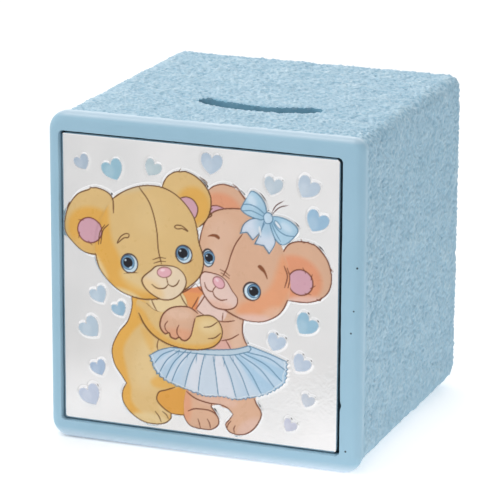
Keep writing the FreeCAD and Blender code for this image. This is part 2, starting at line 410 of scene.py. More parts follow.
class Picture:
    """Colour, ink, owner and relief height of points on the plaque, painted from back to front."""

    def __init__(self, x, z):
        self.x, self.z = x, z
        count = len(x)
        self.colour = np.tile(np.array(SILVER, float), (count, 1))
        self.ink = np.zeros(count)
        self.owner = np.zeros(count, int)
        self.height = np.zeros(count)
        self.part = np.zeros(count)
        self.rim_share = RIM_SHARE + (1 - RIM_SHARE) * ramp(to_rim(x, z), *RIM_RISE)

    def blend(self, where, amount, colour):
        self.colour[where] += (np.array(colour, float) - self.colour[where]) * amount[:, None]

    def piece(self, shape, colour, owner, edge=FIGURE_EDGE, puff=FIGURE_PUFF, swell=1.6, lift=0.0):
        """A printed, raised part: its colour, whose it is, and how it stands up."""
        where = near(self.x, self.z, shape, HALO + HALO_SLOPE + 0.5)
        signed = signed_distance(self.x[where], self.z[where], shape)
        cover = 1 - ramp(signed, -0.07, 0.07)
        self.part = np.zeros(len(self.x))
        self.part[where] = cover
        self.blend(where, cover, colour)
        self.ink[where] = np.maximum(self.ink[where], cover)
        self.owner[where[signed < 0]] = owner
        stands = edge + lift + puff * (1 - np.exp(-np.maximum(-signed, 0) / swell))
        inside = signed <= 0.02
        self.height[where[inside]] = (stands * self.rim_share[where])[inside]
        slope = edge * (1 - ramp(signed, HALO, HALO + HALO_SLOPE)) * self.rim_share[where]
        lower = ~inside & (self.owner[where] == 0)
        self.height[where[lower]] = np.maximum(self.height[where[lower]], slope[lower])

    def tint(self, shape, colour, strength=1.0, soft=0.12, outside=False):
        """Colour inside a shape, or outside it, but only on the part painted last."""
        where = np.nonzero(self.part > 0)[0]
        signed = signed_distance(self.x[where], self.z[where], shape)
        cover = ramp(signed, -soft, soft) if outside else 1 - ramp(signed, -soft, soft)
        self.blend(where, cover * strength * self.part[where], colour)

    def line(self, where, apart, width, colour, groove):
        """Ink along a drawn line, and the groove that it presses into the relief."""
        cover = 1 - ramp(apart, width / 2 - PRINT_SOFT, width / 2 + PRINT_SOFT)
        self.blend(where, cover, colour)
        self.ink[where] = np.maximum(self.ink[where], cover)
        self.height[where] -= groove * np.exp(-((apart / GROOVE_WIDE) ** 2)) * (self.owner[where] > 0)

    def stroke(self, points, colour, width=OUTLINE, taper=0.35, groove=0.07):
        """A drawn line that thins towards its ends and is pressed a little into the relief."""
        curve = smooth_curve(points)
        where = near(self.x, self.z, curve, width + 0.4)
        px, pz = self.x[where], self.z[where]
        ends = np.minimum(*[np.hypot(px - x, pz - z) for x, z in curve[[0, -1]]])
        wide = width * (1 - taper * (1 - ramp(ends, 0, 1.2)))
        self.line(where, nearest_on(px, pz, curve, False)[0], wide, colour, groove)

    def strokes(self, colour, width, *lines):
        """Drawn lines of one colour and width, one after another."""
        for points in lines:
            self.stroke(points, colour, width)

    def ring(self, shape, colour, width):
        """A closed drawn line."""
        where = near(self.x, self.z, shape, width + 0.3)
        apart = nearest_on(self.x[where], self.z[where], shape, True)[0]
        self.line(where, apart, width, colour, 0.05)

    def spot(self, shape, colour, soft=PRINT_SOFT, dome=0.0):
        """A flat patch of colour on whatever lies there, perhaps domed."""
        where = near(self.x, self.z, shape, 0.5)
        signed = signed_distance(self.x[where], self.z[where], shape)
        self.blend(where, 1 - ramp(signed, -soft, soft), colour)
        if dome:
            self.height[where] += dome * ramp(-signed, -0.05, 1.3)


OWNERS = {"left_bear_relief": 1, "right_bear_relief": 2, "skirt_relief": 3, "bow_relief": 4,
          "heart_reliefs": 5}
LEFT_BEAR, RIGHT_BEAR, SKIRT, BOW, HEART = OWNERS.values()

# ---- Right bear ----
TAN_EAR_BACK = [(0.2, 61), (0.6, 64.6), (2.5, 66.6), (4.6, 67.3), (6.8, 67.0), (9.2, 65.6), (10.6, 63.6),
                (9, 59), (3, 58)]
TAN_EAR = [(18.6, 50.6), (20.6, 54.1), (22.6, 55.3), (25.4, 55.5), (28.4, 54.5), (30.6, 51.6), (31.7, 47.6),
           (31.1, 44.3), (29.0, 42.0), (26.3, 41.0), (23.0, 40.8), (19.5, 42.0), (17.5, 46.0)]
TAN_TORSO = [(-2.2, 41.5), (0.5, 41.8), (6, 39.5), (10.2, 37), (9.8, 33.5), (9.9, 30.8), (11.1, 28.2),
             (11, 25), (0, 24), (-4.5, 26), (-6.0, 33), (-5.8, 39.6)]
TAN_LEG_LEFT = [(-4.8, 17.5), (-5.5, 12.5), (-5.2, 9.2), (-3.8, 7.0), (-1.3, 6.4), (1.6, 6.5), (3.4, 7.7),
                (3.8, 9.2), (2.9, 11.0), (1.9, 12.4), (3.5, 13.1), (6, 14), (5, 17.5)]
TAN_LEG_RIGHT = [(5, 17.5), (4.2, 13.1), (6.2, 12.3), (7.4, 11.0), (6.4, 9.6), (5.5, 8.3), (6.4, 6.6),
                 (8.6, 6.1), (10.9, 6.7), (13.0, 8.5), (14.4, 11.0), (14.4, 13.0), (13.2, 15.0),
                 (12.4, 17.5)]
TAN_HEAD = [(-1.2, 52.4), (-0.5, 55.9), (0.7, 58.6), (2.4, 60.4), (5.0, 61.4), (8.2, 61.8), (12, 61.2),
            (16, 58.4), (19.2, 54.2), (21.2, 48.5), (21.6, 43.5), (20.6, 39.6), (18.2, 36.7), (15.2, 35.1),
            (12.0, 34.7), (9.0, 35.2), (5.6, 36.6), (1.5, 40), (-0.6, 45)]
TAN_CHEEK = [(19.8, 51.6), (18.4, 48.4), (17.4, 45.2), (15.6, 42.6), (12.6, 40.6), (9.4, 38.8), (8.4, 36.6),
             (12.5, 35.4), (17.2, 36.8), (20.2, 40.2), (22.0, 44.0), (22.4, 47.6)]
TAN_MUZZLE = [(-0.1, 45.5), (1.6, 45.6), (4.2, 45.1), (5.9, 43.8), (7.2, 41.8), (8.5, 40.0), (8.2, 38.2),
              (6.8, 37.2), (4.6, 36.9), (2.3, 37.5), (0.3, 39.6), (-0.7, 41.7), (-1.0, 44.0)]
TAN_HAND = [(-10.9, 33.0), (-10.0, 34.5), (-8.3, 35.8), (-6.0, 36.4), (-3.6, 36.4), (-1.6, 35.3),
            (-2.2, 33.8), (-2.8, 31.5), (-3.3, 29.5), (-4.4, 28.2), (-5.5, 28.1), (-6.3, 28.7),
            (-7.2, 28.2), (-8.4, 28.5), (-8.9, 29.5), (-9.9, 29.2), (-10.8, 30.0), (-11.2, 31.2)]

# ---- Left bear ----
HONEY_EAR_LEFT = [(-23.2, 60.9), (-24.4, 62.3), (-27.0, 63.2), (-29.3, 62.9), (-32.4, 61.2), (-34.8, 58.0),
                  (-35.8, 54.5), (-35.7, 51.6), (-34.0, 49.4), (-31.0, 47.2), (-27.5, 46.6), (-22, 48),
                  (-20, 55)]
HONEY_EAR_RIGHT = [(-10.7, 65.0), (-9.6, 67.4), (-7.6, 69.0), (-5.0, 69.4), (-2.0, 68.4), (0.3, 66.4),
                   (1.7, 63.6), (1.5, 60.4), (0.4, 58.0), (-1.4, 56.2), (-5, 55), (-10, 60)]
HONEY_HEAD = [(-23.4, 60.9), (-20.2, 63.2), (-16.2, 64.8), (-12.0, 65.2), (-8.2, 64.2), (-5.0, 61.9),
              (-2.6, 58.6), (-1.7, 55.2), (-1.3, 52.6), (-0.4, 50.0), (-0.1, 47.6), (-1.0, 44.4),
              (-3.6, 41.6), (-7.2, 39.2), (-11.6, 37.6), (-17.0, 37.2), (-22.2, 38.8), (-26.4, 42.8),
              (-27.9, 47.2), (-27.0, 54.0)]
HONEY_FACE = [(-26.0, 64.0), (-24.5, 58.6), (-24.0, 54.6), (-23.3, 50.8), (-21.8, 47.8), (-20.7, 44.8),
              (-20.2, 42.2), (-16.5, 40.2), (-11.0, 38.6), (-4.0, 40.4), (0.6, 44.0), (1.0, 52.0), (-3, 62),
              (-10, 67), (-20, 67)]
HONEY_MUZZLE = [(-13.4, 44.5), (-12.0, 45.7), (-9.5, 46.1), (-6.9, 45.9), (-5.0, 44.4), (-4.5, 42.2),
                (-5.7, 39.8), (-8.0, 38.0), (-10.8, 37.6), (-13.6, 38.8), (-15.4, 40.6), (-15.6, 42.4)]
HONEY_BODY = [(-18.6, 38.5), (-18.5, 35.0), (-19.6, 31.2), (-22.0, 28.0), (-23.7, 24.0), (-23.2, 20.2),
              (-21.2, 17.2), (-20.0, 15.4)]
HONEY_FOOT = [(-20.0, 15.4), (-21.1, 13.2), (-20.9, 10.8), (-19.0, 8.2), (-16.0, 6.4), (-13.0, 6.0),
              (-10.2, 6.6), (-8.6, 8.0), (-8.5, 9.3)]
HONEY_BACK_FOOT = [(-8.5, 9.3), (-7.0, 9.2), (-5.3, 9.4), (-5.2, 12.5), (-4.6, 16.0)]
HONEY_SIDE = [(-4.6, 16.0), (-4.8, 26.0), (-5.6, 33.0), (-4.2, 36.6), (-6.0, 40.0), (-12.0, 41.0)]
HONEY_ARM = [(-17.0, 36.8), (-14.6, 36.0), (-12.2, 34.6), (-9, 34.6), (-5, 35.6), (-2.2, 34.5), (0.0, 34.9),
             (2.2, 34.9), (3.9, 33.6), (4.7, 31.4), (4.1, 29.1), (2.2, 27.3), (-1.2, 26.2), (-5.2, 26.0),
             (-9.2, 26.7), (-12.8, 28.4), (-15.2, 30.8), (-17.2, 34.0)]

# ---- Skirt: each pleat line from the waist to the hem ----
WAIST_TOP = [(-8.6, 25.9), (-2.0, 26.2), (3.0, 26.7), (8.0, 27.5), (11.4, 28.7)]
WAIST_LOW = [(11.5, 27.3), (7.5, 26.0), (3.0, 25.4), (-2.0, 25.2), (-7.4, 25.1)]
PLEATS = [((-9.4, 25.4), (-13.8, 23.4)), ((-7.6, 25.4), (-12.9, 21.2)), ((-6.2, 25.5), (-11.6, 19.0)),
          ((-4.6, 25.6), (-9.9, 17.8)), ((-3.3, 25.5), (-8.4, 17.1)), ((-1.8, 25.3), (-5.0, 16.2)),
          ((0.2, 25.2), (-1.5, 15.4)), ((2.4, 25.0), (3.7, 15.2)), ((4.8, 25.2), (8.3, 15.1)),
          ((6.6, 25.7), (11.6, 15.9)), ((7.9, 26.0), (14.8, 16.8)), ((9.0, 26.3), (18.2, 18.8)),
          ((10.0, 26.7), (19.8, 20.9)), ((11.0, 27.1), (20.8, 23.6)), ((11.8, 28.1), (20.9, 25.8))]
SKIRT_RIGHT = [(20.9, 25.9), (17.0, 27.2), (13.0, 28.3), (11.4, 28.7)]
SKIRT_LEFT = [(-8.6, 25.9), (-11.4, 24.9), (-13.8, 23.4)]

# ---- Bow ----
BOW_LEFT = [(15.6, 61.2), (15.2, 63.6), (13.7, 65.6), (11.9, 66.4), (10.9, 65.0), (9.7, 62.9), (9.4, 61.5),
            (11.8, 60.2), (14.6, 59.8)]
BOW_RIGHT = [(16.9, 60.7), (19.2, 60.8), (21.8, 59.9), (23.4, 58.2), (22.5, 56.4), (20.9, 54.8),
             (19.5, 54.2), (18.0, 55.2), (17.0, 57.2), (16.5, 59.2)]
BOW_TAIL_LEFT = ([(14.8, 60.0), (12.0, 59.7), (10.0, 58.2), (9.2, 56.0)], [(9.2, 56.0), (10.8, 56.4)],
                 [(10.8, 56.4), (12.3, 54.7)], [(12.3, 54.7), (13.9, 56.6), (15.4, 59.2)])
BOW_TAIL_MID = ([(15.0, 59.4), (14.2, 56.8), (12.8, 53.8)], [(12.8, 53.8), (15.0, 53.6)],
                [(15.0, 53.6), (16.4, 51.8)], [(16.4, 51.8), (17.8, 54.6), (17.0, 57.4), (16.6, 59.4)])


def draw_eye(art, x, z, wide, tall, pupil_x, pupil_z, pupil, iris):
    """A glossy round eye: dark rim, white, ringed iris, pupil and glints, on a low dome."""
    art.spot(oval(x, z, wide + 0.2, tall + 0.2), (70, 56, 56), dome=0.2)
    art.spot(oval(x + 0.08, z - 0.08, wide - 0.16, tall - 0.16), (202, 222, 234))
    art.spot(oval(pupil_x, pupil_z, iris, iris + 0.1), (66, 98, 128))
    art.spot(oval(pupil_x + 0.05, pupil_z - 0.05, iris - 0.22, iris - 0.14), (116, 158, 190), soft=0.16)
    art.spot(oval(pupil_x, pupil_z, pupil, pupil), (20, 20, 30))
    art.spot(oval(pupil_x - 0.5 * pupil, pupil_z + 0.42 * pupil, 0.2 * pupil, 0.2 * pupil), (196, 214, 228),
             soft=0.12)
    art.spot(oval(pupil_x + 0.55 * pupil, pupil_z - 0.95 * pupil, 0.36 * pupil, 0.2 * pupil, 35),
             (188, 212, 230))


def draw_inner_ear(art, x, z, tufts, line_colour):
    """The pink inside of an ear, its outline broken by small tufts at the given angles and leans."""
    pink = oval(x, z, 3.1, 3.1)
    art.spot(pink, PINK)
    art.ring(pink, line_colour, 0.3)
    for angle, lean in tufts:
        a, b = math.radians(angle), math.radians(angle + lean)
        root = (x + 2.7 * math.cos(a), z + 2.7 * math.sin(a))
        tip = (x + 3.7 * math.cos(b), z + 3.7 * math.sin(b))
        art.stroke([root, tip], line_colour, 0.3, taper=0.6)


def draw_open_brow(art, points, colour, line_colour):
    """A brow drawn as a thin drop-shaped outline round a darker skin tone."""
    shape = outline(points)
    art.spot(shape, colour)
    art.ring(shape, line_colour, 0.26)


def draw_right_ears(art):
    art.piece(outline(TAN_EAR_BACK), TAN, RIGHT_BEAR)
    art.tint(oval(4.0, 60.8, 5.4, 4.4), TAN_SHADE, 0.8, 0.9)
    art.tint(outline([(0.6, 58.6), (1.6, 61.6), (3.4, 62.1), (6.0, 61.0), (4, 58)]), PINK)
    art.stroke([(1.4, 61.2), (2.2, 61.9), (3.7, 62.0), (5.4, 61.4)], TAN_LINE, 0.26)
    art.strokes(TAN_LINE, OUTLINE, [(0.9, 65.4), (2.4, 66.6), *TAN_EAR_BACK[3:5], (7.8, 66.7)],
                [(7.0, 67.5), (8.4, 66.5), (10.5, 63.9)])
    art.piece(outline(TAN_EAR), TAN, RIGHT_BEAR)
    art.tint(oval(23.2, 46.4, 6.4, 5.6, -20), TAN_SHADE, 0.9, 0.9)
    # Painted highlight on the ear's lower rim.
    art.tint(oval(25.0, 41.4, 4.4, 1.1, 8), TAN_SHEEN, 0.8, 0.8)
    draw_inner_ear(art, 24.2, 45.7, [(62, 20), (18, 20), (-28, 22), (-66, 20)], TAN_LINE)
    art.strokes(TAN_LINE, OUTLINE, [(19.4, 51.8), (20.8, 54.2), (22.8, 55.3), (25.4, 55.5), (27.8, 54.9)],
                [(27.2, 55.3), (28.9, 53.9), (30.8, 51.3), (31.7, 47.6), (31.1, 44.3), (29.2, 42.2),
                 (26.3, 41.0), (23.0, 40.8), (21.0, 40.9)])
    art.strokes(TAN_LINE, 0.34, [(31.2, 50.0), (32.0, 49.0)], [(28.2, 42.0), (28.9, 41.7), (29.3, 42.5)],
                [(24.0, 56.0), (24.7, 55.4), (26.0, 55.6)])


def draw_right_torso(art):
    art.piece(outline(TAN_TORSO), TAN, RIGHT_BEAR)
    art.tint(outline([(-5.8, 39.8), (-2.2, 42.3), (0.2, 40.2), (-1.6, 36.4), (-3.2, 36.2)]), (220, 140, 96))
    art.tint(outline([(-5.8, 39.8), (-3.0, 40.2), (0.0, 40.0), (-2.0, 37.6), (-3.2, 36.2)]), (226, 154, 92),
             0.8, 0.4)
    art.tint(outline([(0.1, 40.2), (-1.6, 36.2), (0.4, 34.6), (4.8, 34.2), (5.6, 37.5)]), CREAM_TAN, 1.0,
             0.2)
    art.tint(outline([(4.2, 29.2), (6.0, 29.6), (7.2, 27.0), (3.0, 26.4)]), (216, 168, 158), 0.9, 0.25)
    art.tint(oval(8.6, 31.4, 1.8, 5.0), TAN_LIGHT, 0.5, 1.2)
    art.strokes(TAN_LINE, 0.28, [(-5.8, 39.6), (-3.8, 40.9), (-2.2, 42.4)],
                [(-2.1, 42.2), (-0.9, 41.1), (0.2, 40.0), (-0.6, 38.3), (-2.0, 36.2)],
                [(-1.4, 39.2), (-2.2, 37.6), (-3.1, 36.2)], [(0.0, 35.0), (-1.7, 36.0)],
                [(3.4, 34.0), (5.6, 34.0), (7.8, 34.5)])
    art.stroke([(4.9, 36.0), (4.7, 34.2)], TAN_LINE, 0.26)
    art.stroke([(4.6, 29.2), (6.8, 29.9), (8.8, 31.2)], TAN_LINE, 0.28)
    art.stroke([(5.6, 29.4), (6.3, 28.4), (6.9, 27.2)], TAN_LINE, 0.26)
    art.stroke([(9.9, 34.9), (9.7, 32.4), (10.1, 30.4), (11.1, 28.4)], TAN_LINE)


def draw_right_legs(art):
    for leg in (TAN_LEG_LEFT, TAN_LEG_RIGHT):
        art.piece(outline(leg), TAN, RIGHT_BEAR)
        art.tint(oval(3.8, 17.2, 9.6, 2.2), TAN_SHADE, 0.75, 0.9)
        art.tint(oval(-4.7, 12.0, 1.6, 4.6), TAN_SHADE, 0.6, 0.8)
        # Painted highlight between the legs and on the right foot's lower rim.
        art.tint(oval(3.6, 14.0, 5.0, 1.4), TAN_SHEEN, 0.45, 1.0)
        art.tint(oval(11.6, 8.4, 3.8, 1.7, 38), TAN_SHEEN, 0.6, 1.0)
    art.stroke([(-5.0, 16.0), (-5.5, 12.4), *TAN_LEG_LEFT[2:9], (1.9, 12.3), (2.0, 13.1)], TAN_LINE)
    art.stroke([(-4.0, 10.6), (-2.2, 11.4), (0.8, 11.5), (2.6, 10.9), (3.6, 9.9)], TAN_LINE, 0.3)
    art.stroke([(-4.4, 15.4), (-2.0, 14.0), (1.6, 13.2), (4.4, 13.1), (6.2, 12.4), (7.4, 11.1)], TAN_LINE,
               0.32)
    art.strokes(TAN_LINE, 0.28, [(-1.5, 8.9), (-1.2, 7.8), (-1.0, 6.6)],
                [(0.9, 9.2), (1.4, 8.2), (1.6, 7.0)])
    art.stroke([(7.4, 11.1), *TAN_LEG_RIGHT[4:11], (14.5, 12.7), (13.4, 14.4), (12.8, 15.7)], TAN_LINE)
    art.strokes(TAN_LINE, 0.28, [(6.9, 9.4), (6.2, 8.5), (5.9, 7.6)], [(8.0, 8.4), (7.6, 7.5), (7.7, 6.6)])


def draw_left_body(art):
    art.piece(outline(HONEY_BODY, HONEY_FOOT, HONEY_BACK_FOOT, HONEY_SIDE), HONEY, LEFT_BEAR)
    art.tint(outline([(-17.6, 40), (-13.8, 34), (-18.0, 29.0), (-20.6, 24.2), (-19.8, 19.0), (-18.8, 14.6),
                      (-18.4, 11.0), (-15, 8.2), (-9, 8), (-6, 20), (-7, 36)]), HONEY_SHADE, 0.95, 0.7,
             outside=True)
    art.tint(oval(-14.6, 21.0, 3.6, 6.6, -10), HONEY_LIGHT, 0.55, 2.2)
    # Painted highlight along the foot's lower rim.
    art.tint(oval(-13.6, 7.3, 4.8, 1.5, -4), HONEY_LIGHT, 0.9, 0.8)
    art.tint(oval(-10.0, 10.4, 1.6, 1.6), HONEY_LIGHT, 0.5, 0.8)
    art.tint(outline([(-16.0, 30.0), (-14.8, 26.6), (-13.2, 24.4), (-12.6, 26.6), (-13.6, 29.0)]),
             HONEY_SHADE, 0.5, 0.9)
    art.tint(outline([(-13.4, 17.2), (-11.0, 18.6), (-8, 17.6), (-5.5, 16.8), (-7, 15.8), (-10, 15.4),
                      (-12.8, 15.8)]), HONEY_SHADE, 0.7, 0.7)
    art.tint(outline([(-11.5, 14.6), (-12.0, 12.2), (-10.4, 10.4), (-8.5, 9.4), (-5.3, 9.3), (-5.0, 15.8),
                      (-8.0, 15.6)]), (219, 158, 72), 1.0, 0.14)
    art.tint(outline([(-13.6, 38), (-12.2, 34.4), (-8, 35.0), (-4.2, 36.4), (-6, 40)]), (226, 203, 158),
             1.0, 0.2)
    art.strokes(HONEY_LINE, OUTLINE, [(-18.6, 37.3), *HONEY_BODY[1:]], [(-20.1, 15.6), *HONEY_FOOT[1:]])
    art.strokes(HONEY_LINE, 0.3,
                [(-8.5, 9.3), (-10.4, 10.6), (-12.0, 12.4), (-11.5, 14.4), (-9.6, 15.2), (-7.4, 16.1)],
                [(-8.5, 9.3), (-7.0, 9.2), (-5.4, 9.4)])
    art.strokes(HONEY_LINE, 0.28, [(-12.5, 9.4), (-11.6, 8.2), (-11.1, 6.8)],
                [(-10.6, 9.6), (-9.7, 8.9), (-9.2, 7.9)])
    art.stroke([(-14.6, 36.2), (-13.0, 34.9), (-10.6, 34.1)], HONEY_LINE, 0.3)
    art.strokes(HONEY_LINE, 0.28, [(-13.4, 37.3), (-12.7, 35.9), (-12.0, 34.7)],
                [(-6.0, 39.3), (-5.2, 37.8), (-4.2, 36.5)])
    art.stroke([(-11.6, 27.6), (-11.9, 26.0), (-11.7, 24.8)], HONEY_LINE, 0.26)


def skirt_outline():
    """The skirt's edge, its hem and side frilled by small scallops."""
    hem = [(-13.8, 23.4), (-13.6, 22.4), (-12.2, 19.4), (-9.6, 17.5), (-5.0, 16.1), (-1.5, 15.2),
           (1.2, 14.9), (4.6, 15.3), (8.3, 15.0), (11.6, 15.8), (15.0, 16.9), (18.2, 18.7), (20.4, 20.8),
           (20.9, 23.6), (20.9, 25.9)]
    edge = smooth_curve(hem, steps=14)
    run = np.concatenate([[0], np.cumsum(np.hypot(*np.diff(edge, axis=0).T))])
    along = np.gradient(edge, axis=0)
    across = np.column_stack([along[:, 1], -along[:, 0]]) / np.hypot(*along.T)[:, None]
    frill = edge + across * (0.16 * np.sin(run * 5.6) + 0.10 * np.sin(run * 9.1 + 1))[:, None]
    rest = [smooth_curve(side) for side in (SKIRT_RIGHT, WAIST_TOP[::-1], SKIRT_LEFT)]
    return np.vstack([frill, *rest]), frill


def draw_skirt(art):
    shape, frill = skirt_outline()
    art.piece(shape, LACE, SKIRT, lift=0.06)
    art.tint(oval(15.0, 23.0, 9.0, 6.0, -25), (166, 200, 225), 0.8, 3.6)
    art.tint(oval(-9.5, 21.5, 5.0, 4.5), (184, 206, 226), 0.7, 2.4)
    art.tint(oval(2.4, 19.5, 7.4, 8.0), (216, 219, 227), 0.85, 3.0)
    for k, (left, right) in enumerate(zip(PLEATS, PLEATS[1:])):
        panel = np.array([left[0], right[0], right[1], left[1]])
        art.tint(panel, (214, 222, 234) if k % 2 else (158, 194, 220), 0.3, 0.3)
    art.tint(outline(WAIST_TOP, WAIST_LOW), (184, 204, 218), 0.9)
    for top, low in PLEATS[1:-1]:
        lean = low[0] - top[0]
        bend = ((top[0] + low[0]) / 2 + 0.08 * lean, (top[1] + low[1]) / 2 + 0.3 + 0.05 * abs(lean))
        art.stroke([top, bend, low], SKY_LINE, 0.24, taper=0.2, groove=0.12)
    for k in range(7):
        x = -6.4 + 2.3 * k
        z = 25.3 + 0.05 * k
        art.stroke([(x, z), (x + 0.08 * (k - 3), z - 1.2 - 0.7 * (k % 3))], SKY_LINE, 0.2, taper=0.7)
    art.stroke(WAIST_TOP, SKY_LINE, 0.28)
    art.stroke(WAIST_LOW, SKY_LINE, 0.22)
    art.stroke(frill[::2], SKY_LINE, 0.2, taper=0.0)
    inner = frill + (np.array([3.5, 24.0]) - frill) * 0.035
    art.stroke(inner[::4], (214, 226, 236), 0.2, taper=0.0)
    art.strokes(SKY_LINE, 0.26, SKIRT_RIGHT, SKIRT_LEFT)
    art.stroke([(11.3, 28.7), (11.9, 28.0), (11.5, 27.3)], SKY_LINE, 0.3)


def draw_arms(art):
    art.piece(outline(HONEY_ARM), HONEY, LEFT_BEAR, lift=0.05)
    art.tint(outline([(-18, 36), (-15.4, 34.4), (-13.2, 31.2), (-9.6, 28.4), (-5.0, 27.3), (0.4, 27.8),
                      (3.4, 29.4), (5.6, 33.0), (0, 37), (-10, 37), (-18, 38)]), HONEY_SHADE, 0.8, 0.7,
             outside=True)
    art.tint(oval(1.4, 32.4, 2.6, 1.9), HONEY_LIGHT, 0.8, 1.2)
    art.stroke([(-16.7, 33.5), *HONEY_ARM[16:5:-1], (-2.2, 34.2)], HONEY_LINE)
    art.strokes(HONEY_LINE, 0.28, [(0.1, 32.0), (1.8, 32.4), (3.4, 33.6)],
                [(1.2, 29.3), (2.8, 29.7), (4.2, 30.9)])
    art.piece(outline(TAN_HAND), TAN, RIGHT_BEAR, lift=0.08)
    art.tint(oval(-6.0, 28.8, 5.0, 2.2), TAN_SHADE, 0.5, 1.0)
    art.tint(oval(-6.4, 34.6, 3.4, 1.4), TAN_LIGHT, 0.5, 1.0)
    art.stroke([(-1.5, 35.2), *TAN_HAND[4::-1], *TAN_HAND[:6:-1], (-2.3, 33.8)], TAN_LINE)
    art.strokes(TAN_LINE, 0.28, [(-9.2, 32.4), (-9.9, 31.4), (-9.8, 30.3), (-9.0, 29.4)],
                [(-6.3, 31.8), (-6.8, 30.6), (-6.8, 29.6), (-6.3, 28.7)])


def draw_right_head(art):
    art.piece(outline(TAN_HEAD), TAN, RIGHT_BEAR, puff=0.4, lift=0.04)
    art.tint(outline(TAN_CHEEK), (226, 156, 115), 0.85, 1.1)
    # Painted highlight on the chin and along the head's lower rim.
    art.tint(oval(17.0, 37.4, 2.6, 1.3, 30), TAN_LIGHT, 0.5, 1.0)
    art.tint(oval(12.6, 35.5, 4.2, 1.2, 4), TAN_SHEEN, 0.8, 0.9)
    art.tint(oval(3.2, 47.8, 3.2, 5.0), TAN_LIGHT, 0.4, 1.8)
    art.tint(oval(4.6, 55.6, 3.6, 3.6), TAN_LIGHT, 0.35, 2.0)
    art.strokes(TAN_LINE, OUTLINE, [(-1.2, 52.6), *TAN_HEAD[1:6], (9.6, 61.8)],
                [(21.0, 41.0), (19.9, 38.6), *TAN_HEAD[12:16], (5.0, 36.9)])
    art.stroke([(9.7, 55.8), (8.0, 53.2), (6.8, 50.2), (6.0, 47.4), (4.9, 45.2)], TAN_LINE, 0.28)
    art.strokes(TAN_LINE, 0.24, [(4.2, 46.7), (5.4, 46.2), (6.6, 45.4)],
                [(4.4, 45.9), (5.6, 45.3), (6.5, 44.7)])
    art.strokes(TAN_LINE, 0.26, [(20.1, 49.2), (20.9, 46.8), (20.3, 44.0)],
                [(20.8, 48.8), (21.5, 46.6), (21.1, 44.0)])
    art.spot(outline([(1.0, 54.4), (2.2, 55.1), (3.4, 55.1), (4.1, 54.5), (3.8, 54.0), (2.6, 54.5)]),
             (132, 76, 46))
    art.spot(outline([(13.6, 48.5), (14.3, 48.9), (15.3, 48.0), (16.0, 46.4), (16.0, 45.6), (15.2, 47.0),
                      (14.2, 47.8)]), (132, 76, 46))
    draw_eye(art, 1.1, 49.2, 1.5, 2.1, 1.4, 49.3, 1.05, 1.5)
    draw_eye(art, 12.2, 42.3, 2.1, 2.15, 12.7, 42.4, 1.2, 1.65)
    art.stroke([(9.9, 41.2), (11.0, 40.3), (12.9, 39.8)], TAN_LINE, 0.3, taper=0.8)
    muzzle = outline(TAN_MUZZLE)
    art.piece(muzzle, CREAM_TAN, RIGHT_BEAR, lift=0.12)
    art.tint(oval(4.0, 37.4, 4.6, 1.5, -10), (222, 172, 148), 0.6, 1.0)
    art.ring(muzzle, TAN_LINE, 0.3)
    art.spot(oval(3.8, 43.4, 1.6, 1.2, -40), NOSE_PINK, dome=0.12)
    art.ring(oval(3.8, 43.4, 1.6, 1.2, -40), (150, 96, 96), 0.24)
    art.spot(oval(3.4, 44.0, 0.5, 0.3, -40), (238, 206, 214), soft=0.15)
    art.stroke([(3.0, 42.3), (2.5, 41.6), (2.3, 41.0)], TAN_LINE, 0.28)
    art.strokes(TAN_LINE, 0.3, [(2.3, 41.0), (1.2, 41.2), (0.5, 42.0), (0.2, 43.0)],
                [(2.3, 41.0), (2.9, 39.9), (4.3, 39.2), (5.9, 39.5)])


def draw_bow(art):
    for tail in (BOW_TAIL_LEFT, BOW_TAIL_MID):
        shape = outline(*tail)
        art.piece(shape, SKY_LIGHT, BOW, lift=0.06)
        art.tint(oval(15.6, 59.2, 2.6, 3.0), SKY_DEEP, 0.6, 1.6)
        art.ring(shape, SKY_LINE, 0.24)
    for loop in (BOW_LEFT, BOW_RIGHT):
        shape = outline(loop)
        art.piece(shape, SKY, BOW, puff=0.42, lift=0.1)
        art.tint(oval(16.0, 60.2, 3.0, 3.0), SKY_DEEP, 0.55, 1.4)
        art.ring(shape, SKY_LINE, 0.26)
    art.spot(oval(12.0, 64.2, 1.5, 1.0, -50), (200, 220, 236), soft=0.6)
    art.spot(oval(20.6, 58.6, 1.6, 0.8, -35), (196, 218, 235), soft=0.6)
    art.stroke([(9.6, 62.9), (11.4, 63.2), (13.4, 62.6), (15.2, 61.2)], SKY_LINE, 0.24)
    art.stroke([(9.6, 61.4), (12.0, 61.7), (14.9, 60.6)], SKY_LINE, 0.22)
    art.stroke([(17.0, 59.9), (18.4, 57.9), (20.6, 56.7), (22.8, 56.6)], SKY_LINE, 0.24)
    art.stroke([(16.8, 59.4), (17.8, 57.2), (19.2, 55.0)], SKY_LINE, 0.22)
    art.stroke([(15.2, 59.0), (14.4, 57.4), (14.2, 55.6)], SKY_LINE, 0.2)
    art.spot(oval(14.0, 57.0, 0.28, 1.2, 8), (224, 230, 236), soft=0.12)
    art.spot(oval(18.5, 59.0, 0.34, 1.05, 42), (224, 232, 240), soft=0.12)
    art.ring(oval(18.5, 59.0, 0.42, 1.2, 42), SKY_LINE, 0.18)
    knot = outline([(14.9, 60.6), (15.6, 61.6), (16.7, 61.4), (17.2, 60.2), (16.6, 59.2), (15.4, 59.1)])
    art.piece(knot, (192, 216, 234), BOW, lift=0.2)
    art.ring(knot, SKY_LINE, 0.24)
    art.stroke([(16.7, 61.5), (17.8, 63.4), (19.8, 64.8)], (88, 48, 44), 0.32, taper=0.7)
    art.stroke([(16.9, 61.3), (18.6, 63.0), (20.9, 63.8)], (88, 48, 44), 0.32, taper=0.7)


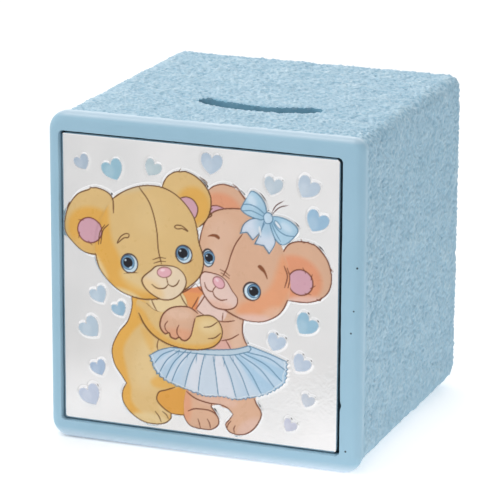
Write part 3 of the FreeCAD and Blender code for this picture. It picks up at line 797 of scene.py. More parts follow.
def draw_left_head(art):
    art.piece(outline(HONEY_EAR_RIGHT), HONEY, LEFT_BEAR, lift=0.04)
    art.tint(oval(-2.6, 61.4, 4.2, 4.6), HONEY_SHADE, 0.85, 1.0)
    art.tint(outline([(-6.2, 62.6), (-4.4, 63.4), (-2.6, 62.8), (-1.5, 61.0), (-1.8, 59.0), (-3.2, 57.4),
                      (-6, 58)]), PINK)
    art.stroke([(-6.2, 62.8), (-4.4, 63.4), (-2.6, 62.8), (-1.5, 61.0), (-1.8, 59.2), (-2.5, 58.2)],
               HONEY_LINE, 0.28)
    art.strokes(HONEY_LINE, OUTLINE, [(-10.6, 65.2), (-9.6, 67.4), (-7.8, 68.9), (-6.2, 69.3)],
                [(-6.0, 69.9), (-6.3, 69.2), (-4.6, 69.4), *HONEY_EAR_RIGHT[4:9], (-1.2, 56.4)])
    art.stroke([(-1.2, 68.4), (0.5, 67.2), (0.2, 66.4)], HONEY_LINE, 0.34)
    art.stroke([(2.1, 61.2), (1.4, 60.3), (1.9, 59.5), (0.9, 58.7)], HONEY_LINE, 0.3)
    art.piece(outline(HONEY_EAR_LEFT), HONEY, LEFT_BEAR, lift=0.02)
    art.tint(oval(-28.4, 52.8, 6.7, 5.7, -8), HONEY_SHADE, 0.9, 0.9)
    art.tint(oval(-29.0, 49.2, 4.6, 2.0), HONEY, 0.5, 1.0)
    art.piece(outline(HONEY_HEAD), HONEY, LEFT_BEAR, puff=0.4, swell=2.2, lift=0.06)
    art.tint(outline(HONEY_FACE), HONEY_SHADE, 0.9, 0.9, outside=True)
    art.tint(oval(-17.6, 41.6, 4.2, 2.2, -28), HONEY_LIGHT, 0.5, 1.2)
    # Painted highlight along the head's lower rim.
    art.tint(oval(-19.4, 38.0, 3.4, 0.9, -18), HONEY_LIGHT, 0.9, 0.7)
    art.tint(oval(-26.6, 44.2, 0.8, 3.6, 32), HONEY_LIGHT, 0.8, 0.7)
    art.tint(oval(-18.4, 64.2, 7.0, 1.0, 16), HONEY_GREY, 0.6, 1.0)
    art.tint(oval(-2.4, 47.0, 2.2, 5.0), (212, 170, 110), 0.5, 1.6)
    art.tint(oval(-14.0, 57.6, 4.0, 4.6), HONEY_LIGHT, 0.25, 2.8)
    draw_inner_ear(art, -29.2, 52.7, [(122, 20), (196, 22), (262, 18)], (118, 60, 52))
    art.strokes(HONEY_LINE, 0.26, [(-24.3, 54.6), (-25.8, 52.9), (-26.4, 49.6)],
                [(-25.3, 54.4), (-26.6, 52.4), (-27.0, 49.4)])
    art.strokes(HONEY_LINE, OUTLINE,
                [(-23.0, 57.6), (-23.2, 60.6), *HONEY_EAR_LEFT[1:3], (-29.2, 63.1)],
                [(-29.2, 63.3), (-29.3, 62.7), *HONEY_EAR_LEFT[4:10], (-27.6, 46.7)])
    art.stroke([(-34.6, 58.9), (-35.2, 57.4)], HONEY_LINE, 0.5)
    art.stroke([*HONEY_HEAD[:18], (-27.9, 47.0)], HONEY_LINE)
    art.stroke([(-16.5, 64.5), (-14.0, 61.5), (-12.6, 58.0), (-11.8, 54.0), (-11.5, 50.0), (-10.7, 46.4)],
               HONEY_LINE, 0.28)
    art.strokes(HONEY_LINE, 0.24, [(-12.9, 47.2), (-11.2, 47.9), (-9.6, 47.9)],
                [(-12.6, 46.4), (-11.0, 47.0), (-9.6, 47.1)])
    draw_open_brow(art, [(-22.0, 50.3), (-21.2, 51.9), (-20.0, 52.8), (-19.0, 52.8), (-19.2, 52.0),
                         (-20.4, 51.7)], HONEY, HONEY_LINE)
    draw_open_brow(art, [(-4.0, 55.1), (-5.4, 56.2), (-6.8, 56.3), (-7.3, 55.8), (-6.6, 55.4),
                         (-5.4, 55.6)], HONEY, HONEY_LINE)
    draw_eye(art, -18.9, 45.7, 2.1, 2.3, -19.2, 45.9, 1.25, 1.75)
    draw_eye(art, -5.0, 49.4, 2.0, 2.15, -5.2, 49.7, 1.25, 1.7)
    art.stroke([(-20.3, 43.0), (-18.6, 43.4), (-16.6, 43.6)], HONEY_LINE, 0.28, taper=0.8)
    art.stroke([(-5.4, 47.0), (-3.8, 47.5), (-2.6, 48.4)], HONEY_LINE, 0.28, taper=0.8)
    muzzle = outline(HONEY_MUZZLE)
    art.piece(muzzle, CREAM, LEFT_BEAR, lift=0.14)
    art.tint(oval(-13.4, 40.0, 3.6, 2.0, -30), (230, 196, 140), 0.7, 1.0)
    art.ring(muzzle, HONEY_LINE, 0.3)
    art.spot(oval(-10.0, 44.4, 1.85, 1.25, 10), NOSE_PINK, dome=0.12)
    art.ring(oval(-10.0, 44.4, 1.85, 1.25, 10), (150, 104, 96), 0.24)
    art.spot(oval(-10.4, 44.9, 0.6, 0.3, 10), (240, 208, 214), soft=0.15)
    art.stroke([(-9.4, 43.2), (-9.2, 42.3), (-9.0, 41.5)], HONEY_LINE, 0.28)
    art.strokes(HONEY_LINE, 0.3, [(-9.0, 41.5), (-10.0, 40.5), (-11.8, 40.3), (-13.2, 41.1)],
                [(-9.0, 41.5), (-7.8, 41.2), (-6.8, 41.8), (-6.2, 42.9)])


def draw_hearts(art):
    for x, z, width, tilt, edge, colour in HEARTS:
        shape = heart(x, z, width, tilt)
        art.piece(shape, colour, HEART, edge=edge, puff=HEART_PUFF, swell=0.8)
        light = tuple(c + (255 - c) * 0.25 for c in colour)
        art.tint(oval(x - 0.16 * width, z - 0.08 * width, 0.22 * width, 0.3 * width), light, 0.5, 0.5)


def draw_all(art):
    draw_hearts(art)
    draw_right_ears(art)
    draw_right_torso(art)
    draw_right_legs(art)
    draw_left_body(art)
    draw_skirt(art)
    draw_right_head(art)
    draw_arms(art)
    draw_left_head(art)
    draw_bow(art)


# ======================================================================================
# The plaque
# ======================================================================================

def piece_outlines():
    """The closed outlines whose edges the plaque's mesh follows."""
    shapes = [TAN_EAR_BACK, TAN_EAR, TAN_TORSO, TAN_LEG_LEFT, TAN_LEG_RIGHT, TAN_HEAD, TAN_HAND,
              HONEY_EAR_LEFT, HONEY_EAR_RIGHT, HONEY_HEAD, HONEY_ARM, BOW_LEFT, BOW_RIGHT]
    found = [outline(shape) for shape in shapes]
    found.append(outline(HONEY_BODY, HONEY_FOOT, HONEY_BACK_FOOT, HONEY_SIDE))
    found.append(skirt_outline()[0])
    found += [outline(*BOW_TAIL_LEFT), outline(*BOW_TAIL_MID)]
    found += [heart(*row[:4]) for row in HEARTS]
    return found


def snap_to_outlines(x, z, step):
    """Moves grid points that lie within half a step of an outline onto it."""
    x, z = x.copy(), z.copy()
    for shape in piece_outlines():
        where = near(x, z, shape, step)
        apart, step_x, step_z = nearest_on(x[where], z[where], shape, True)
        close = apart < 0.5 * step
        x[where[close]] += step_x[close]
        z[where[close]] += step_z[close]
    return x, z


def round_corners(x, z, radius):
    """Bends the grid's square corners into round ones."""
    for side_x, edge_x in ((-1, FOIL_LOW[0]), (1, FOIL_HIGH[0])):
        for side_z, edge_z in ((-1, FOIL_LOW[2]), (1, FOIL_HIGH[2])):
            u = (x - edge_x) * side_x + radius
            v = (z - edge_z) * side_z + radius
            corner = (u > 0) & (v > 0)
            far = np.hypot(u[corner], v[corner])
            squeeze = np.maximum(u[corner], v[corner]) / far
            x[corner] += (u[corner] * squeeze - u[corner]) * side_x
            z[corner] += (v[corner] * squeeze - v[corner]) * side_z
    return x, z


def blurred(grid, passes):
    """A grid smoothed by repeated averaging with its neighbours."""
    for _ in range(passes):
        wide = np.pad(grid, 1, mode="edge")
        grid = (4 * grid + 2 * (wide[:-2, 1:-1] + wide[2:, 1:-1] + wide[1:-1, :-2] + wide[1:-1, 2:])
                + wide[:-2, :-2] + wide[2:, 2:] + wide[:-2, 2:] + wide[2:, :-2]) / 16
    return grid


def foil_waves(x, z):
    """The thin foil's own unevenness: long gentle dents, and crinkles low down, most on the right."""
    dents = sum(tall * np.sin(along * x + up * z + start) for tall, along, up, start in DENTS)
    strength = ramp(x * CRINKLE_SLOPE_RIGHT - z, *CRINKLE_RIGHT)
    strength += 0.5 * ramp(-z - CRINKLE_SLOPE_LEFT * (x - CRINKLE_LEFT_FROM), *CRINKLE_LEFT)
    crinkles = np.zeros(len(x))
    for k in np.nonzero(strength > 0)[0]:
        p = Vector((x[k], 0, z[k]))
        warp = noise.noise_vector(p / 3.0) * 1.2
        coarse = abs(noise.noise((p + warp) / 1.5))
        crinkles[k] = coarse + 0.5 * abs(noise.noise((p - warp) / 0.7 + SEED_SHIFT))
    return dents + CRINKLE * strength * crinkles


def colour_layer(mesh, colour_255, alpha):
    """Stores painted colours on a mesh's points, as linear light."""
    share = np.clip(colour_255 / 255, 0, 1)
    light = np.where(share < 0.04045, share / 12.92, ((share + 0.055) / 1.055) ** 2.4)
    layer = mesh.color_attributes.new("print", "FLOAT_COLOR", "POINT")
    layer.data.foreach_set("color", np.column_stack([light, alpha]).astype(np.float32).ravel())


def make_plaque():
    """The pressed foil as one closed pan, and each printed colour area as a thin sheet of ink on it."""
    xs = np.linspace(FOIL_LOW[0], FOIL_HIGH[0], round((FOIL_HIGH[0] - FOIL_LOW[0]) / FOIL_STEP) + 1)
    zs = np.linspace(FOIL_LOW[2], FOIL_HIGH[2], round((FOIL_HIGH[2] - FOIL_LOW[2]) / FOIL_STEP) + 1)
    columns, rows = len(xs), len(zs)
    gx, gz = [side.ravel() for side in np.meshgrid(xs, zs)]
    gx, gz = snap_to_outlines(gx, gz, xs[1] - xs[0])
    gx, gz = round_corners(gx, gz, FOIL_CORNER)
    art = Picture(gx, gz)
    draw_all(art)
    height = blurred(art.height.reshape(rows, columns), 2).ravel() + foil_waves(gx, gz) * (art.owner == 0)
    over_rim = np.maximum(FOIL_TURN_R - to_rim(gx, gz), 0)
    turn = FOIL_TURN_R - np.sqrt(np.maximum(FOIL_TURN_R**2 - over_rim**2, 0))
    front = np.column_stack([gx, FOIL_LOW[1] - height + turn, gz])

    number = np.arange(rows * columns).reshape(rows, columns)
    quads = np.column_stack([number[:-1, :-1].ravel(), number[:-1, 1:].ravel(), number[1:, 1:].ravel(),
                             number[1:, :-1].ravel()])
    foil = make_foil(front, quads, number)
    behind = len(foil.data.vertices) - len(gx)
    colour_layer(foil.data, np.vstack([art.colour, np.tile(SILVER, (behind, 1))]),
                 np.concatenate([art.ink, np.zeros(behind)]))

    centre = Picture(gx[quads].mean(axis=1), gz[quads].mean(axis=1))
    draw_all(centre)
    prints = {}
    for node, owner in OWNERS.items():
        chosen = quads[centre.owner == owner]
        used, renumbered = np.unique(chosen, return_inverse=True)
        top = front[used] - (0, INK, 0)
        sheet = mesh_object(node + "_print", top, renumbered.reshape(chosen.shape).tolist())
        colour_layer(sheet.data, art.colour[used], np.ones(len(used)))
        thick = sheet.modifiers.new("ink", "SOLIDIFY")
        thick.thickness = INK_THICK * MM
        thick.offset = -1
        apply_modifiers(sheet)
        prints[node] = sheet
    return foil, prints


def make_foil(front, quads, number):
    """The pressed front, its rim turned back, and the hollow behind for the board."""
    border = np.concatenate([number[0, :-1], number[:-1, -1], number[-1, :0:-1], number[:0:-1, 0]])
    ring = front[border]
    low = np.array([BOARD_LOW[0], BOARD_LOW[2]])
    high = np.array([BOARD_HIGH[0], BOARD_HIGH[2]])
    inner = np.clip(ring[:, [0, 2]], low, high)
    rings = [
        np.column_stack([ring[:, 0], np.full(len(ring), FOIL_HIGH[1]), ring[:, 2]]),
        np.column_stack([inner[:, 0], np.full(len(ring), FOIL_HIGH[1]), inner[:, 1]]),
        np.column_stack([inner[:, 0], np.full(len(ring), BOARD_LOW[1]), inner[:, 1]]),
    ]
    count, first = len(border), len(front)
    faces = quads.tolist()
    levels = [border] + [np.arange(first + k * count, first + (k + 1) * count) for k in range(3)]
    for near_ring, far_ring in zip(levels, levels[1:]):
        for k in range(count):
            nxt = (k + 1) % count
            faces.append((near_ring[nxt], near_ring[k], far_ring[k], far_ring[nxt]))
    faces.append(tuple(levels[-1][::-1]))
    faces = [tuple(int(k) for k in face) for face in faces]
    foil = mesh_object("plaque_foil_pressed", np.vstack([front] + rings), faces)
    foil.data.set_sharp_from_angle(angle=math.radians(50))
    return foil


# ======================================================================================
# The cube
# ======================================================================================

def slot_side(reach, first, last, count):
    """One long side of the slot: points on an arc about the middle of its bend."""
    return [(SLOT_X + reach * math.sin(angle), SLOT_Y + SLOT_BEND_R - reach * math.cos(angle))
            for angle in np.linspace(first, last, count)]


def slot_end(side, half_angle, step):
    """The round end on one side, 1 for the right and -1 for the left, from outside the bend to inside."""
    half_width = SLOT_WIDTH / 2
    mx = SLOT_X + side * SLOT_BEND_R * math.sin(half_angle)
    my = SLOT_Y + SLOT_BEND_R - SLOT_BEND_R * math.cos(half_angle)
    start = side * half_angle - math.radians(90)
    turns = np.linspace(0, math.pi, round(math.pi * half_width / step))[1:-1]
    angles = [start + side * turn for turn in turns]
    return [(mx + half_width * math.cos(angle), my + half_width * math.sin(angle)) for angle in angles]


def slot_outline(step=0.4):
    """The bowed slot's outline in x and y, round at both ends."""
    half_angle = math.asin(SLOT_CHORD / 2 / SLOT_BEND_R)
    count = round(2 * half_angle * SLOT_BEND_R / step)
    near_side = slot_side(SLOT_BEND_R + SLOT_WIDTH / 2, -half_angle, half_angle, count)
    far_side = slot_side(SLOT_BEND_R - SLOT_WIDTH / 2, half_angle, -half_angle, count)
    right_end = slot_end(1, half_angle, step)
    left_end = slot_end(-1, half_angle, step)
    return np.array(near_side + right_end + far_side + left_end[::-1])


def stucco(p):
    """Height of the rough coating at a point: lumps and ridges drawn out by a warp, and grit."""
    q = Vector(p)
    warp = noise.noise_vector(q / WARP_GRAIN + SEED_SHIFT) * WARP_REACH
    lump = noise.noise((q + warp) / LUMP_GRAIN)
    ridge = 0.5 - abs(noise.noise((q - warp) / RIDGE_GRAIN + SEED_SHIFT)) * 2
    grit = noise.noise(q / GRIT_GRAIN + SEED_SHIFT)
    broad = noise.noise(q / BROAD_GRAIN)
    return LUMP_HEIGHT * lump + RIDGE_HEIGHT * ridge + GRIT_HEIGHT * grit + BROAD_HEIGHT * broad


def loop_counts():
    """Steps along a level side, an upright side and a corner of every ring of the skin."""
    across = round((SHELL_HIGH[0] - SHELL_LOW[0] - 2 * LONG_EDGE_R) / SKIN_STEP)
    up = round((HEIGHT - 2 * LONG_EDGE_R) / SKIN_STEP)
    return across, up, round(LONG_EDGE_R * math.pi / 2 / SKIN_STEP)


def pocket_rows(counts):
    """Rings from the pocket's floor to its rounded lip, a little wavy."""
    pocket, away = rounded_loop(POCKET_LEFT, POCKET_RIGHT, POCKET_LOW, POCKET_HIGH, POCKET_R, *counts)
    wander = [noise.noise(Vector((x, 0, z)) / 7.0) + 0.5 * noise.noise(Vector((x, 5, z)) / 1.6)
              for x, z in pocket]
    pocket = pocket + away * (POCKET_WAVE * np.array(wander))[:, None]
    nick = np.exp(-(((pocket[:, 1] - NICK_Z) / NICK_TALL) ** 2)) * (pocket[:, 0] > POCKET_RIGHT - 1)
    pocket = pocket + away * (NICK_DEEP * nick)[:, None]
    rows = [(pocket, y) for y in np.linspace(POCKET_FLOOR_Y, FRONT_Y + POCKET_LIP, 7)]
    for turn in np.radians([22.5, 45, 67.5, 90]):
        lip = pocket + away * POCKET_LIP * (1 - math.cos(turn))
        rows.append((lip, FRONT_Y + POCKET_LIP * (1 - math.sin(turn))))
    return rows


def frame_rows(counts, lip):
    """Rings over the smooth front frame and its rounded outer edge."""
    outer, away = rounded_loop(SHELL_LOW[0] + FRAME_SINK_LEFT, SHELL_HIGH[0] - FRAME_SINK_RIGHT, 0,
                               HEIGHT - FRAME_SINK_TOP, FRAME_EDGES, *counts)
    inner = outer - away * FRONT_EDGE_R
    rows = [(lip + (inner - lip) * share, FRONT_Y) for share in (0.12, 0.3, 0.5, 0.7, 0.88)]
    for turn in np.radians(np.linspace(0, 90, 9)):
        ring = outer - away * FRONT_EDGE_R * (1 - math.sin(turn))
        rows.append((ring, FRONT_Y + FRONT_EDGE_R * (1 - math.cos(turn))))
    return rows


def coated_rows(counts):
    """Rings over the coated sides and the rear edge: x and z, y, and the way out at each point."""
    sides = (SHELL_LOW[0] + COAT_SINK, SHELL_HIGH[0] - COAT_SINK, 0, HEIGHT - COAT_SINK)
    first_y, back_y = FRONT_Y + FRONT_EDGE_R, BACK_Y - COAT_SINK
    rows = []
    straight = round((back_y - first_y - BACK_EDGE_R) / SKIN_STEP)
    for y in np.linspace(first_y, back_y - BACK_EDGE_R, straight)[1:]:
        grown = ramp(y, first_y, first_y + COAT_EDGE_RUN)
        outer, away = rounded_loop(*sides, FRAME_EDGES + (COAT_EDGES - FRAME_EDGES) * grown, *counts)
        rows.append((outer, y, np.column_stack([away[:, 0], np.zeros(len(outer)), away[:, 1]])))
    turns = round(BACK_EDGE_R * math.pi / 2 / SKIN_STEP)
    for turn in np.radians(np.linspace(0, 90, turns + 1))[1:]:
        radii = BACK_EDGE_R + (COAT_EDGES - BACK_EDGE_R) * math.cos(turn)
        outer, away = rounded_loop(*sides, radii, *counts)
        ring = outer - away * BACK_EDGE_R * (1 - math.cos(turn))
        out = np.column_stack([away[:, 0] * math.cos(turn), np.full(len(outer), math.sin(turn)),
                               away[:, 1] * math.cos(turn)])
        rows.append((ring, back_y - BACK_EDGE_R * (1 - math.sin(turn)), out))
    return rows


def back_grid(counts, first):
    """The flat back inside its rounded edge: an even grid of points, and its quads numbered from first."""
    across, up = counts[:2]
    half = SHELL_HIGH[0] - COAT_SINK - BACK_EDGE_R
    xs = np.linspace(half, -half, across + 1)
    zs = np.linspace(BACK_EDGE_R, HEIGHT - COAT_SINK - BACK_EDGE_R, up + 1)
    x, z = [side.ravel() for side in np.meshgrid(xs, zs)]
    number = first + np.arange(len(x)).reshape(up + 1, across + 1)
    corners = [number[:-1, :-1], number[:-1, 1:], number[1:, 1:], number[1:, :-1]]
    return np.column_stack([x, z]), np.column_stack([part.ravel() for part in corners]).tolist()


def coat(ring, y, out):
    """One coated ring's points with the stucco's height, and that height. The frame runs into it."""
    lower = np.array([FRAME_SINK_RIGHT, FRAME_SINK_LEFT, FRAME_SINK_TOP]) - COAT_SINK
    points, heights = [], []
    for (x, z), normal in zip(ring, out):
        starts = FRONT_Y + COAT_START + 0.5 * noise.noise(Vector((x, 0, z)) / 2.0)
        amount = ramp(y, starts, starts + COAT_RAMP)
        drop = np.maximum([normal[0], -normal[0], normal[2]], 0) @ lower * (1 - amount)
        base = 0.0 if z < 0.01 else min(1.0, 0.3 + z / 3)
        height = stucco((x, y, z)) * base
        points.append(np.array([x, y, z]) + normal * (height * amount - drop))
        heights.append(height * amount)
    return points, heights


def make_skin():
    """The cube's outside as one closed mesh, with the stucco in its shape."""
    counts = loop_counts()
    plain = pocket_rows(counts)
    plain += frame_rows(counts, plain[-1][0])
    count = len(plain[0][0])
    points = [(x, y, z) for ring, y in plain for x, z in ring]
    rough = [0.0] * len(points)
    coated = coated_rows(counts)
    for ring, y, out in coated:
        more, heights = coat(ring, y, out)
        points += more
        rough += heights
    grid, back_faces = back_grid(counts, len(points))
    more, heights = coat(grid, BACK_Y - COAT_SINK, np.tile([0.0, 1.0, 0.0], (len(grid), 1)))
    points = np.array(points + more)
    rough += heights
    slot = slot_outline()
    over = near(points[:, 0], points[:, 1], slot, SLOT_LIP)
    over = over[points[over, 2] > HEIGHT - TOP_DEPTH]
    apart = nearest_on(points[over, 0], points[over, 1], slot, True)[0]
    points[over, 2] -= SLOT_LIP_DROP * (1 - ramp(apart, 0, SLOT_LIP))
    rows = len(plain) + len(coated)
    faces = ring_faces(rows, count) + back_faces
    faces.append(tuple(range(count)))
    skin = mesh_object("cube_casting", points, faces)
    layer = skin.data.attributes.new("stucco", "FLOAT", "POINT")
    layer.data.foreach_set("value", np.array(rough, np.float32))
    outward(skin)
    return skin


def make_cube():
    """The casting: rough skin, coin slot, hollow inside, and a ledge for the base panel."""
    cube = make_skin()
    slot = prism("slot_cutter", slot_outline(), HEIGHT - WALL - 1, HEIGHT + 1, 8, wobble=0.6)
    cut(cube, slot)
    half = SHELL_HIGH[0] - WALL
    front, back = FRONT_Y + FRONT_WALL, BACK_Y - WALL
    hollow = rounded_loop(-half, half, front, back, CAVITY_R, 1, 1, 8)[0]
    cut(cube, prism("hollow_cutter", hollow, -1, HEIGHT - WALL, 1))
    ledge = rounded_loop(-half - LEDGE, half + LEDGE, front - LEDGE, back + LEDGE, CAVITY_R, 1, 1, 8)[0]
    cut(cube, prism("ledge_cutter", ledge, -1, PANEL_TOP, 1))
    cube.data.set_sharp_from_angle(angle=math.radians(55))
    return cube


# ======================================================================================
# Materials
# ======================================================================================

def linear(*colour_255):
    """An sRGB colour as linear light with alpha."""
    shares = [c / 255 for c in colour_255]
    return tuple(c / 12.92 if c < 0.04045 else ((c + 0.055) / 1.055) ** 2.4 for c in shares) + (1.0,)


PAINT = linear(149, 188, 209)
PAINT_LIGHT = linear(153, 191, 212)
# Painted light in the paint: shade in the stucco's pits, a highlight on its peaks, and a highlight along
# the frame's lower and upper edge.
PAINT_PIT_SHADE = linear(143, 182, 204)
PAINT_PEAK_HIGHLIGHT = linear(166, 199, 216)
PAINT_EDGE_HIGHLIGHT = linear(204, 219, 232)
FLOOR_GREY = linear(231, 231, 231)
FLOOR_PALE = linear(246, 246, 246)
# Pinholes in the smooth frame, painted as dark spots for the shade inside them: x, z and radius.
PINHOLES = [(38.3, 50.8, 0.32), (37.6, 40.4, 0.25), (37.0, 35.0, 0.28), (36.05, 5.9, 0.3)]
MOTTLE = 0.02
# The part of a noise's range that is spread over soft patches.
PATCH = (0.3, 0.7)
# Stucco heights over which the painted shade in its pits turns to the plain paint, and the plain paint to a
# painted highlight on its peaks.
PIT_SHADE_RISE = (-0.26, 0.0)
PEAK_HIGHLIGHT_RISE = (0.08, 0.30)
# A painted highlight along the frame's lower and upper edge: depth over which both fade to the rear, then
# for each its fade in height, up from the base or down from the top, and its strength.
EDGE_HIGHLIGHT_REACH = (2.0, 3.5)
LOW_EDGE_HIGHLIGHT, LOW_HIGHLIGHT_SHARE = (0.4, 2.8), 0.95
TOP_EDGE_HIGHLIGHT, TOP_HIGHLIGHT_SHARE = (1.6, 0.6), 0.5


class Nodes:
    """The node tree of a material or a world, and the material's Principled shader."""

    def __init__(self, owner):
        owner.use_nodes = True
        self.owner = owner
        self.tree = owner.node_tree
        self.shader = self.tree.nodes.get("Principled BSDF")

    def add(self, kind, **values):
        node = self.tree.nodes.new(kind)
        for key, value in values.items():
            setattr(node, key, value)
        return node

    def link(self, source, target):
        self.tree.links.new(source, target)

    def place(self):
        """Object coordinates in metres."""
        return self.add("ShaderNodeTexCoord").outputs["Object"]

    def noise(self, scale, detail, roughness=0.5):
        node = self.add("ShaderNodeTexNoise")
        node.inputs["Scale"].default_value = scale
        node.inputs["Detail"].default_value = detail
        node.inputs["Roughness"].default_value = roughness
        self.link(self.place(), node.inputs["Vector"])
        return node.outputs["Fac"]

    def ramp(self, source, low, high, low_value=0.0, high_value=1.0):
        node = self.add("ShaderNodeMapRange")
        node.inputs["From Min"].default_value = low
        node.inputs["From Max"].default_value = high
        node.inputs["To Min"].default_value = low_value
        node.inputs["To Max"].default_value = high_value
        self.link(source, node.inputs["Value"])
        return node.outputs["Result"]

    def mix(self, factor, a, b, mode="MIX"):
        """A colour mix: a and b are colours or sockets."""
        node = self.add("ShaderNodeMix", data_type="RGBA", blend_type=mode)
        self.put(factor, node.inputs[0])
        self.put(a, node.inputs[6])
        self.put(b, node.inputs[7])
        return node.outputs[2]

    def uneven(self, scale, detail, low, high, roughness=0.5):
        """A value that wanders between low and high."""
        return self.ramp(self.noise(scale, detail, roughness), *PATCH, low, high)

    def patchy(self, scale, detail, a, b):
        """Soft patches of two colours."""
        return self.mix(self.uneven(scale, detail, 0.0, 1.0), a, b)

    def split(self, source):
        """The X, Y and Z of a position or direction."""
        node = self.add("ShaderNodeSeparateXYZ")
        self.link(source, node.inputs[0])
        return node.outputs

    def distance(self, place):
        """Distance in metres from a place on the object."""
        node = self.add("ShaderNodeVectorMath", operation="DISTANCE")
        self.link(self.place(), node.inputs[0])
        node.inputs[1].default_value = place
        return node.outputs["Value"]

    def math(self, operation, a, b):
        node = self.add("ShaderNodeMath", operation=operation)
        self.put(a, node.inputs[0])
        self.put(b, node.inputs[1])
        return node.outputs[0]

    def put(self, value, socket):
        if isinstance(value, bpy.types.NodeSocket):
            self.link(value, socket)
        else:
            socket.default_value = value

    def cone(self, direction, toward, outer, inner, outside, inside):
        """One value outside a cone of directions and another inside, in degrees from its middle."""
        facing = self.add("ShaderNodeVectorMath", operation="DOT_PRODUCT")
        self.link(direction, facing.inputs[0])
        facing.inputs[1].default_value = Vector(toward).normalized()
        low, high = math.cos(math.radians(outer)), math.cos(math.radians(inner))
        return self.ramp(facing.outputs["Value"], low, high, outside, inside)

    def bump(self, source, strength, distance):
        node = self.add("ShaderNodeBump")
        node.inputs["Strength"].default_value = strength
        node.inputs["Distance"].default_value = distance * MM
        self.link(source, node.inputs["Height"])
        self.link(node.outputs["Normal"], self.shader.inputs["Normal"])

    def set(self, **values):
        names = {"base": "Base Color", "rough": "Roughness", "metal": "Metallic",
                 "specular": "Specular IOR Level"}
        for key, value in values.items():
            self.put(value, self.shader.inputs[names[key]])


def new_material(name):
    return Nodes(bpy.data.materials.new(name))


def paint_material():
    """Sprayed satin paint with grain and pinholes, and painted light: shade in the stucco's pits, a
    highlight on its peaks and along the frame's lower and upper edge.
    """
    n = new_material("sprayed_blue_paint")
    stucco_height = n.add("ShaderNodeAttribute", attribute_name="stucco").outputs["Fac"]
    patch = n.mix(n.ramp(n.noise(70, 3), 0.35, 0.65), PAINT, PAINT_LIGHT)
    # Painted shade in the stucco's pits, and a painted highlight on its peaks.
    pits = n.mix(n.ramp(stucco_height, *PIT_SHADE_RISE), PAINT_PIT_SHADE, patch)
    colour = n.mix(n.ramp(stucco_height, *PEAK_HIGHLIGHT_RISE), pits, PAINT_PEAK_HIGHLIGHT)
    place = n.split(n.place())
    # A painted highlight along the frame's lower and upper edge, fading to the rear.
    fore = n.ramp(place["Y"], *[(FRONT_Y + back) * MM for back in EDGE_HIGHLIGHT_REACH], 1.0, 0.0)
    below = n.ramp(place["Z"], *[up * MM for up in LOW_EDGE_HIGHLIGHT], LOW_HIGHLIGHT_SHARE, 0.0)
    above = n.ramp(place["Z"], *[(HEIGHT - down) * MM for down in TOP_EDGE_HIGHLIGHT], 0.0, TOP_HIGHLIGHT_SHARE)
    colour = n.mix(n.math("MULTIPLY", fore, n.math("ADD", below, above)), colour, PAINT_EDGE_HIGHLIGHT)
    # Each pinhole is a dark spot of painted shade.
    for x, z, radius in PINHOLES:
        apart = n.distance((x * MM, (FRONT_Y + 0.05) * MM, z * MM))
        colour = n.mix(n.ramp(apart, 0.7 * radius * MM, radius * MM, 1.0, 0.0), colour, linear(40, 62, 76))
    n.set(base=colour, rough=n.uneven(160, 4, 0.30, 0.42), specular=0.5)
    n.bump(n.noise(1500, 3, 0.6), 0.3, 0.06)
    return n.owner


def pocket_shade_material():
    """Painted shade: dark paint deep in the pocket, where the narrow gap round the plaque lies in shadow.
    """
    n = new_material("pocket_painted_shade")
    n.set(base=n.patchy(300, 3, linear(40, 64, 78), linear(56, 84, 100)), rough=0.75)
    n.bump(n.noise(1500, 3), 0.4, 0.06)
    return n.owner


def inside_material():
    """Thin overspray on bare resin, inside the slot and the hollow, made darker than the outer paint as
    painted shade.
    """
    n = new_material("overspray")
    n.set(base=n.patchy(400, 4, linear(120, 172, 197), linear(136, 185, 208)), rough=0.65)
    n.bump(n.noise(900, 4), 0.6, 0.12)
    return n.owner


def foil_material():
    """Bright lacquered silver where there is no ink."""
    n = new_material("silver_laminate")
    layer = n.add("ShaderNodeAttribute", attribute_name="print")
    ink = layer.outputs["Alpha"]
    cloud = n.mix(n.ramp(n.noise(90, 4), 0.35, 0.65), linear(224, 225, 226), linear(230, 230, 231))
    n.set(base=n.mix(ink, cloud, layer.outputs["Color"]))
    n.set(metal=n.ramp(ink, 0.0, 1.0, 1.0, 0.0))
    n.set(rough=n.uneven(140, 3, 0.14, 0.2), specular=0.3)
    n.bump(n.noise(700, 2), 0.1, 0.03)
    return n.owner


def ink_material(name, grain_scale):
    """Glossy printed lacquer: the printed colour with a fine mottle."""
    n = new_material(name)
    printed = n.add("ShaderNodeAttribute", attribute_name="print").outputs["Color"]
    mottle = n.uneven(grain_scale, 4, 1 - MOTTLE, 1 + MOTTLE, 0.6)
    grey = n.add("ShaderNodeCombineColor")
    for socket in grey.inputs:
        n.link(mottle, socket)
    n.set(base=n.mix(1.0, printed, grey.outputs[0], "MULTIPLY"))
    n.set(rough=n.uneven(500, 2, 0.26, 0.36), specular=0.28)
    n.bump(n.noise(900, 2), 0.1, 0.03)
    return n.owner


def panel_material():
    n = new_material("panel_paint")
    n.set(base=n.patchy(120, 4, linear(138, 172, 190), linear(152, 184, 201)))
    n.set(rough=n.uneven(400, 3, 0.55, 0.7))
    n.bump(n.noise(900, 5, 0.6), 0.5, 0.12)
    return n.owner


def rubber_material():
    n = new_material("stopper_rubber")
    n.set(base=n.patchy(200, 4, linear(44, 46, 48), linear(58, 60, 62)))
    n.set(rough=n.uneven(600, 3, 0.55, 0.75), specular=0.35)
    n.bump(n.noise(2200, 3), 0.4, 0.05)
    return n.owner


def board_material():
    n = new_material("grey_board")
    n.set(base=n.patchy(900, 5, linear(196, 188, 174), linear(214, 208, 196)), rough=0.85)
    n.bump(n.noise(2600, 4), 0.5, 0.05)
    return n.owner


